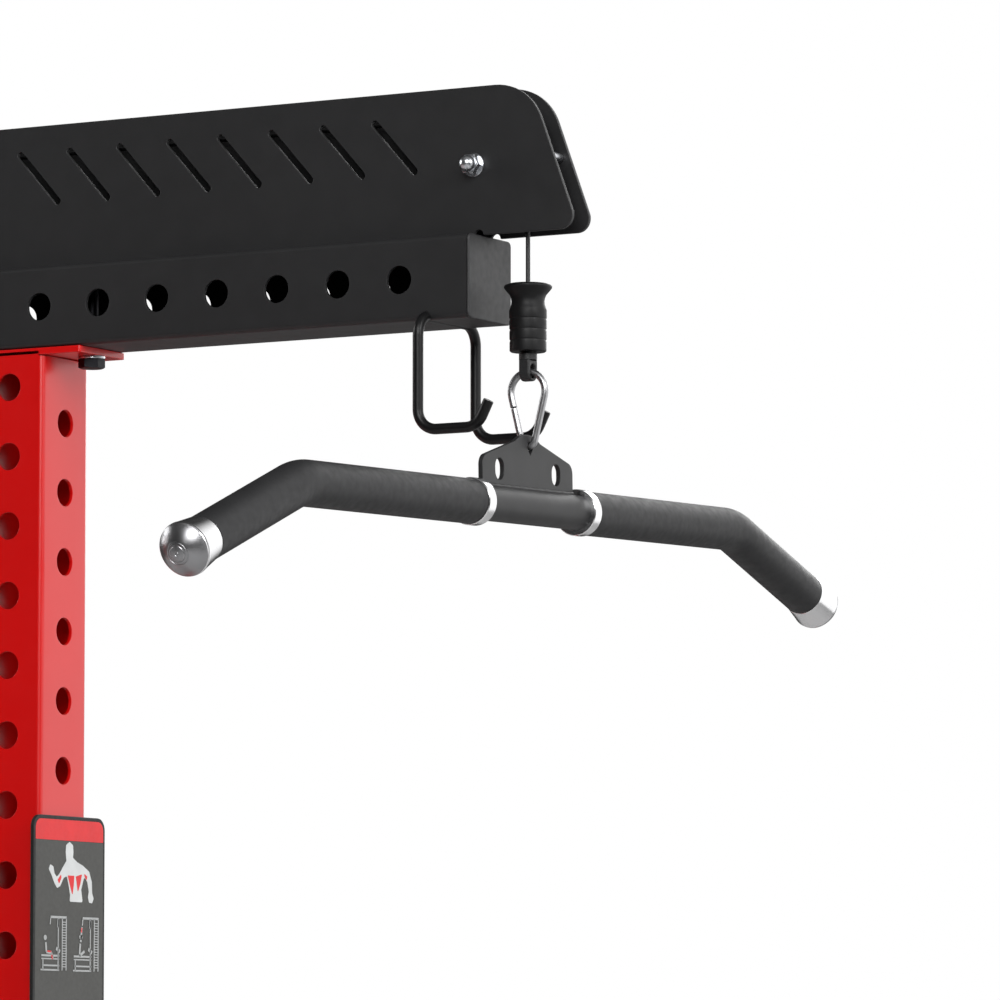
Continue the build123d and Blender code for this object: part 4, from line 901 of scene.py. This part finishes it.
crossmembers = {
    "top_rear_crossmember": (TOP_LEVEL, side_span, SIDE_HIGH),
    "base_rear_crossmember": (BASE_LEVEL, (FOOT_TOP, SIDE_ROWS[-2] + 30), SIDE_LOW),
}
inner = CROSS_HALF - END_PLATE
for label, (level, span, rows) in crossmembers.items():
    start, stop = pt(REAR_X, -inner, level), pt(REAR_X, inner, level)
    shape = Shape().square_tube(start, Y, X, 2 * inner, [inner - 50, inner + 50], (), 6.3)
    end_plate(shape, pt(REAR_X, -CROSS_HALF, 0), X, span, rows)
    end_plate(shape, stop, X, span, rows)
    weld_ends(shape, start, stop, Z, X)
    shape.piece(label + "_tube", BLACK, [label])

bar_start, bar_stop = pt(FRONT_X, -inner, TOP_LEVEL), pt(FRONT_X, inner, TOP_LEVEL)
pipe = [(16, 0), (16, 2 * inner), (13.5, 2 * inner), (13.5, 0)]
shape = Shape().lathe(pipe, bar_start, Y, 72, True)
end_plate(shape, pt(FRONT_X, -CROSS_HALF, 0), X, side_span, SIDE_HIGH)
end_plate(shape, bar_stop, X, side_span, SIDE_HIGH)
weld_ends(shape, bar_start, bar_stop, Z, X, circle(0, 0, 16))
shape.piece("pull_up_tube", BLACK, ["pull_up_bar"])

start, stop = pt(TOWER_START + END_PLATE, 0, BASE_LEVEL), pt(TOWER_END - END_PLATE, 0, BASE_LEVEL)
shape = Shape().square_tube(start, X, Z, stop.x - start.x)
shape.plate(cross_plate, pt(TOWER_START, 0, BASE_LEVEL), Y, Z, END_PLATE, 0.5)
end_plate(shape, stop, Y, low_span, FRONT_LOW)
weld_ends(shape, start, stop, Y, Z)
shape.piece("tower_base_tube", BLACK, ["tower_base_beam"])

# ---- frame bolts
shape = Shape()
turns = 0


def frame_bolt(at, axis, size=16.0, flats=24.0):
    """Hex bolt with its head's face at a point, and a nut past the tube and end plate."""
    global turns
    turns += 1
    grip, nut = TUBE + END_PLATE, 13.0
    r, end = size / 2, grip + nut + 3
    shape.hexagon(at, -axis, flats, 10, 0.37 * turns)
    shape.lathe([(0, 0), (r, 0), (r, end - 1), (r - 1, end), (0, end)], at, axis, 32)
    shape.hexagon(at + axis * grip, axis, flats, nut, 0.53 * turns)


for x, out_x in ((FRONT_X, -1), (REAR_X, 1)):
    for y, out_y in ((-HALF_WIDTH, -1), (HALF_WIDTH, 1)):
        for level in FRONT_HIGH + FRONT_LOW:
            frame_bolt(pt(x + out_x * TUBE / 2, y, level), X * -out_x)
        for level in SIDE_HIGH + SIDE_LOW if out_x > 0 else SIDE_HIGH:
            frame_bolt(pt(x, y + out_y * TUBE / 2, level), Y * -out_y)
for level in FRONT_LOW:
    frame_bolt(pt(COLUMN_X + TUBE / 2, 0, level), -X)
for level in (TOP_LEVEL, BASE_LEVEL):
    for offset in (-50, 50):
        frame_bolt(pt(REAR_X - TUBE / 2, offset, level), X, 12.0, 18.0)
shape.piece("hex_bolts", OXIDE, ["frame_bolts"])

shape = Shape()
ROD_LOW, ROD_HIGH = FOOT_TOP + TUBE, TOP - TUBE
for offset in (-24, 24):
    for at, axis, grip in (
        (pt(LIFT_X + offset, 0, ROD_HIGH - 6), Z, 66), (pt(LIFT_X + offset, 0, ROD_LOW + 6), -Z, 66),
    ):
        shape.hexagon(at, -axis, 10, 4, 0.2)
        shape.lathe([(0, 0), (3, 0), (3, grip + 5.4), (2.4, grip + 6), (0, grip + 6)], at, axis, 24)
        shape.hexagon(at + axis * grip, axis, 10, 4, 0.5)
shape.piece("bracket_hex_bolts", OXIDE, ["bracket_bolts"])

# ---- guide rods and weight carriage
RODS = [pt(LIFT_X, side * 110.0, 0) for side in (-1, 1)]
CARRIAGE = 330.0
HORN_TIP = 426.0


def on_rods(profile, n, closed=False):
    """The same turned shape on each guide rod."""
    made = Shape()
    for rod in RODS:
        made.lathe(profile, rod, Z, n, closed)
    return made


def ring_shape(low, high, inner, outer, soft):
    flat, edge = outer - soft, outer - soft * 0.3
    profile = [
        (inner, low), (flat, low), (edge, low + soft * 0.3), (outer, low + soft),
        (outer, high - soft), (edge, high - soft * 0.3), (flat, high), (inner, high),
    ]
    return on_rods(profile, 56, True)


on_rods(ring_profile(0, 12.5, ROD_LOW, ROD_HIGH, 0.6), 64).piece("guide_rod_pair", CHROME, ["guide_rods"])
bracket = [rectangle(35, 140, 6)]
bracket += [circle(0, side * 110, 12.6, 40) for side in (-1, 1)] + [circle(x, 0, 3.5, 24) for x in (-24, 24)]
shape = Shape()
shape.plate(bracket + [circle(0, 0, 7, 32)], pt(LIFT_X, 0, ROD_HIGH - 6), X, Y, 6, 0.6)
shape.plate(bracket, pt(LIFT_X, 0, ROD_LOW), X, Y, 6, 0.6)
shape.piece("rod_bracket_plates", BLACK, ["guide_rod_brackets"])
BUMPER_LOW = CARRIAGE - 40.4 - 40
ring_shape(ROD_LOW + 6, BUMPER_LOW, 12.6, 20, 1.0).piece("rod_stops", OXIDE, ["guide_rod_stops"])
ribbed = [(12.6, BUMPER_LOW)]
for k in range(33):
    ribbed.append((24.6 + 1.4 * cos(2 * pi * 4 * k / 32 + pi), BUMPER_LOW + 1 + 38 * k / 32))
ribbed.append((12.6, BUMPER_LOW + 40))
on_rods(ribbed, 64, True).piece("rod_bumpers", RUBBER, ["carriage_bumpers"])
shape = ring_shape(CARRIAGE - 40, CARRIAGE + 40, 12.58, 17.98, 0.5)
shape.piece("carriage_liners", BRONZE, ["carriage_bushings"], body="carriage")
block = [rectangle(28, 150, 5, 6)] + [circle(0, side * 110, 18, 48) for side in (-1, 1)]
shape = Shape().plate(block, pt(LIFT_X, 0, CARRIAGE - 40), X, Y, 80, 1.2, 4)
boss = [(0, 79.4), (1.7, 79.4), (1.7, 80), (10, 80), (11, 79), (11, 44), (14, 40.4), (14, 40)]
shape.lathe(boss, pt(LIFT_X, 0, CARRIAGE), Z, 56)
shape.piece("carriage_block", BLACK, ["weight_carriage"], body="carriage")
horn = [(0, 150), (44, 150), (45, 151), (45, 155), (44, 156), (28.5, 156), (26, 157.4), (24.9, 160)]
horn += [(r, HORN_TIP + y) for r, y in ((24.9, -0.6), (24.3, 0), (21.9, 0), (21.9, -199), (0, -199))]
cap = [(0, 4), (21, 4), (23.4, 3.4), (24.5, 2), (24.5, 0.1), (21.7, 0.1), (21.7, -18), (0, -18)]
cap = [(r, HORN_TIP + y) for r, y in cap]
shape, caps = Shape(), Shape()
for side in (-1, 1):
    at = pt(LIFT_X, 0, CARRIAGE)
    shape.lathe(horn, at, Y * side, 80)
    caps.lathe(cap, at, Y * side, 72)
shape.piece("plate_horns", CHROME, ["weight_horns"], body="carriage")
caps.piece("plate_horn_caps", CAP, ["horn_end_caps"], body="carriage")

# ---- j hooks and safety rods
HOOK_FACE = FRONT_X + TUBE / 2
JHOOK_LEVEL = FRONT_ROWS[11]
SAFETY_LEVEL = FRONT_ROWS[22]
SAFETY_START, SAFETY_END = FRONT_X - TUBE / 2 - 6, REAR_X + TUBE / 2 + 20
for side, y in SIDES:
    at = pt(HOOK_FACE, y + 22, JHOOK_LEVEL)
    outline = rounded(
        [(0.5, 40), (0.5, -70), (95, -70), (95, -10), (86, -10), (86, -60), (9, -60), (9, 40)],
        [1.5, 1.5, 8, 2.5, 2.5, 0, 0, 1.5], 6,
    )
    shape = Shape().plate([outline], at, X, Z, 44, 0.7)
    pin = pt(HOOK_FACE + 0.5, y, JHOOK_LEVEL)
    shape.lathe([(0, 0), (9.5, 0), (9.5, 38), (8.9, 39.4), (7.5, 40), (0, 40)], pin, -X, 48)
    shape.piece("j_hook_" + side + "_body", BLACK, ["j_hook_" + side], body="hook_" + side)
    outline = rounded(
        [(9, 40), (9, -60), (86, -60), (86, -10), (81, -10), (81, -55), (14, -55), (14, 40)],
        [0.8, 0, 0, 0.8, 0.8, 3, 3, 0.8], 5,
    )
    shape = Shape().plate([outline], at, X, Z, 44, 0.4)
    shape.piece("j_hook_" + side + "_pad", LINER, ["j_hook_" + side + "_liner"], body="hook_" + side)
    reach = SAFETY_END - SAFETY_START
    rod = [(0, 0), (9.5, 0), (9.5, reach - 2), (8.9, reach - 0.6), (7.5, reach), (0, reach)]
    shape = Shape().lathe(rod, pt(SAFETY_START, y, SAFETY_LEVEL), X, 56)
    knob = [(0, 0), (14, 0), (16.2, -0.8), (17, -2.6)]
    for k in range(7):
        knob += [(17, -4 - 2.4 * k), (16.3, -4.6 - 2.4 * k), (16.3, -5.4 - 2.4 * k), (17, -6 - 2.4 * k)]
    knob += [(17, -21.5), (16, -23.4), (14, -24), (0, -24)]
    shape.lathe(knob, pt(SAFETY_START, y, SAFETY_LEVEL), X, 64)
    shape.piece("safety_rod_" + side + "_bar", CHROME, ["safety_rod_" + side], body="safety_" + side)

# ---- placard on the column
PANEL = pt(COLUMN_X + TUBE / 2, 5.2, TOP - 400)


def drawn(points, radii, level, ink, label):
    """Thin printed shape on the placard, from points across and down from its top edge."""
    outline = rounded([(x, -down) for x, down in points], radii, 4)
    made = Shape().plate([outline], PANEL + X * level, Y, Z, 0.1, 0.02, 1)
    return made.piece(label, ink)


def stroke(shape, a, b, wide, level=3.25):
    a, b = pt(a[0], -a[1]), pt(b[0], -b[1])
    along = (b - a).normalized()
    side = pt(-along.y, along.x) * wide * 0.65
    loop = [tuple(a - side), tuple(b - side), tuple(b + side), tuple(a + side)]
    shape.plate([loop], PANEL + X * level, Y, Z, 0.1, 0.02, 1)


panel = rounded([(-47.4, -290), (45.8, -290), (45.8, 0), (-47.4, 0)], [9] * 4, 8)
shape = Shape().plate([panel], PANEL, Y, Z, 3, 0.5)
shape.piece("placard_panel", PANEL_EDGE, ["instruction_placard"])
for label, ink, low, high, radii in (
    ("placard_field", PANEL_GREY, 18, 287, [1, 1, 6.5, 6.5]),
    ("placard_header", PANEL_RED, 2.8, 17.8, [6.5, 6.5, 0.8, 0.8]),
):
    drawn([(-44.9, low), (43.3, low), (43.3, high), (-44.9, high)], radii, 2.95, ink, label)
torso = [
    (-1, 18.5), (3.5, 21), (4, 26), (3.5, 30), (9, 33), (17, 35.5), (25, 39.5), (28.5, 47), (29, 55),
    (31, 59), (29, 62.5), (25, 62), (23.5, 58), (24.5, 54), (22.5, 47), (18.5, 43.5), (16.5, 48),
    (14.5, 53), (16.5, 62), (-0.5, 62), (0, 57), (-2, 50), (-4.5, 43.5), (-8.5, 45), (-13, 51), (-17, 52.5),
    (-20.5, 49), (-24.5, 43), (-28, 39), (-26, 35.5), (-22, 37), (-20.5, 42), (-17.5, 44.5), (-14, 42),
    (-9.5, 37), (-5, 32.5), (-5.5, 30), (-6, 26), (-5.5, 21),
]
drawn(torso, [1.2] * len(torso), 3.05, PANEL_WHITE, "placard_figure")
for i, outline in enumerate((
    [(-3.4, 43), (5.4, 43), (4.6, 50), (3, 57.5), (0, 51)],
    [(7.2, 43.5), (15.4, 41.6), (13.2, 49), (10, 55)],
    [(-16.5, 46.5), (-12, 42.5), (-11.5, 45), (-14.5, 49.5)],
    [(18, 40.8), (22.4, 43), (21.6, 46), (19, 43.6)],
)):
    drawn(outline, [0.5] * len(outline), 3.12, PANEL_RED, "placard_muscle_%d" % i)
machines, loads = Shape(), Shape()
for x in (0.0, 42.0):
    for across in (-15.4, -10.2, -5.0):
        stroke(machines, (x + across, 74), (x + across, 112), 0.9)
    for k in range(18):
        stroke(machines, (x - 10.0, 77 + 1.9 * k), (x - 5.2, 77 + 1.9 * k), 0.5, 3.2)
    for a, b, c, d, wide in (
        (-25.5, 73.6, -4.6, 73.6, 1.3), (-25.2, 74, -26, 79, 0.8), (-15.6, 75, -15.6, 81, 1.6),
        (-37, 101.5, -14, 101.5, 1.1), (-37, 103.8, -14, 103.8, 0.7), (-36, 108.6, -14, 108.6, 0.9),
        (-38, 111.8, -14, 111.8, 0.9), (-35, 104, -35, 112, 0.9), (-18, 96, -13, 98.5, 2.0),
    ):
        stroke(machines, (x + a, b), (x + c, d), wide)
for a, b in (
    ((-31.5, 92), (-30.5, 99)), ((-30.5, 99), (-24, 99.5)), ((-24, 99.5), (-22, 104)),
    ((13.5, 92), (12.5, 101)), ((14, 91), (15.5, 80)), ((12.5, 101), (19, 97.5)),
):
    stroke(machines, a, b, 1.5)
for x, down in ((-32.2, 88.6), (14.2, 87.4)):
    machines.plate([circle(x, -down, 1.9, 20)], PANEL + X * 3.25, Y, Z, 0.1, 0.02, 1)
for a, b in (((-29.5, 98.4), (-24.5, 98.6)), ((-24, 101), (-22.8, 104)), ((14.9, 84), (15.4, 80.5))):
    stroke(loads, a, b, 0.9, 3.32)
machines.piece("placard_machines", PANEL_LINE)
loads.piece("placard_marks", PANEL_RED)

# ---- camera, floor and light
FLOOR = 5.0
floor_mesh = bpy.data.meshes.new("floor")
floor_mesh.from_pydata([(x, y, 0) for x, y in rectangle(FLOOR, FLOOR, 0)], [], [(0, 1, 2, 3)])
paint = material("floor_paint", srgb(196, 196, 196), 0.7, specular=0.1)
vary_colour(paint, noise(paint, 1.2, 3.0), srgb(193, 193, 193), srgb(198, 198, 198))
# Far from the object the camera sees the floor turn into the white background
white = node(paint, "ShaderNodeEmission", Strength=1.0)
reach = node(paint, "ShaderNodeVectorMath", operation="LENGTH")
link(paint, place(paint), reach.inputs[0])
fade = node(paint, "ShaderNodeMath", operation="MULTIPLY")
link(paint, remap(paint, reach.outputs["Value"], 1.6, 4.8, kind="SMOOTHSTEP"), fade.inputs[0])
link(paint, node(paint, "ShaderNodeLightPath").outputs["Is Camera Ray"], fade.inputs[1])


def mix(owner, factor, first, second, output):
    """Sends a mix of two shaders to a material's or world's output."""
    chosen = node(owner, "ShaderNodeMixShader")
    for i, source in enumerate((factor, first, second)):
        link(owner, source, chosen.inputs[i])
    link(owner, chosen.outputs[0], owner.node_tree.nodes[output].inputs["Surface"])


mix(paint, fade.outputs[0], shader_of(paint).outputs[0], white.outputs[0], "Material Output")
floor_mesh.materials.append(paint)
add_object("floor", floor_mesh)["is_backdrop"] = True

SKY = 0.05
PATCHES = [
    ((0.75, 0.64, 0.12), 0.4, 0.85, 1.6),
    ((0.3, -0.3, 1.0), 0.4, 0.95, 0.2),
]
world = bpy.data.worlds.new("studio")
bpy.context.scene.world = world
world.use_nodes = True
backdrop = world.node_tree.nodes["Background"]
backdrop.inputs["Color"].default_value = (1.0, 1.0, 1.0, 1.0)
backdrop.inputs["Strength"].default_value = 1.0
sky_direction = node(world, "ShaderNodeTexCoord").outputs["Generated"]
base = node(world, "ShaderNodeValue")
base.outputs[0].default_value = SKY
strength = base.outputs[0]
for direction, start, full, gain in PATCHES:
    aim = node(world, "ShaderNodeVectorMath", operation="DOT_PRODUCT")
    aim.inputs[1].default_value = Vector(direction).normalized()
    link(world, sky_direction, aim.inputs[0])
    total = node(world, "ShaderNodeMath", operation="ADD")
    link(world, strength, total.inputs[0])
    link(world, remap(world, aim.outputs["Value"], start, full, 0.0, gain, "SMOOTHSTEP"), total.inputs[1])
    strength = total.outputs[0]
sky = node(world, "ShaderNodeBackground")
link(world, strength, sky.inputs["Strength"])
camera_ray = node(world, "ShaderNodeLightPath").outputs["Is Camera Ray"]
mix(world, camera_ray, sky.outputs[0], backdrop.outputs[0], "World Output")

LOOK_AT = (0.75, 0.0, 1.9)
MIDDLE = (0.0, 0.0, 1.2)
for name, at, target, size, power in (
    ("key_panel", (2.6, -4.0, 3.9), LOOK_AT, 2.6, 158),
    ("side_panel", (4.2, -1.0, 3.6), LOOK_AT, 1.6, 55),
    ("rear_fill", (-4.6, -0.6, 3.4), MIDDLE, 2.6, 110),
    ("left_fill", (0.2, 5.0, 3.6), MIDDLE, 2.6, 80),
):
    panel_light = bpy.data.lights.new(name, "AREA")
    panel_light.size = size
    panel_light.energy = power
    lamp = add_object(name, panel_light)
    lamp.location = at
    lamp.rotation_euler = (Vector(target) - Vector(at)).to_track_quat("-Z", "Y").to_euler()

view = bpy.context.scene.view_settings
view.view_transform = "Standard"
view.look = "None"

camera_data = bpy.data.cameras.new("camera")
camera_data.sensor_width = 36.0
camera_data.lens = 229.94
camera_data.clip_start = 0.05
camera_data.clip_end = 60.0
camera = add_object("camera", camera_data)
camera.location = arm(2224.1, -3872.3, -611.1) * MM
camera.rotation_euler = (radians(90 + 5.437), 0, radians(29.783))
bpy.context.scene.camera = camera

# ---- size
low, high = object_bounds()
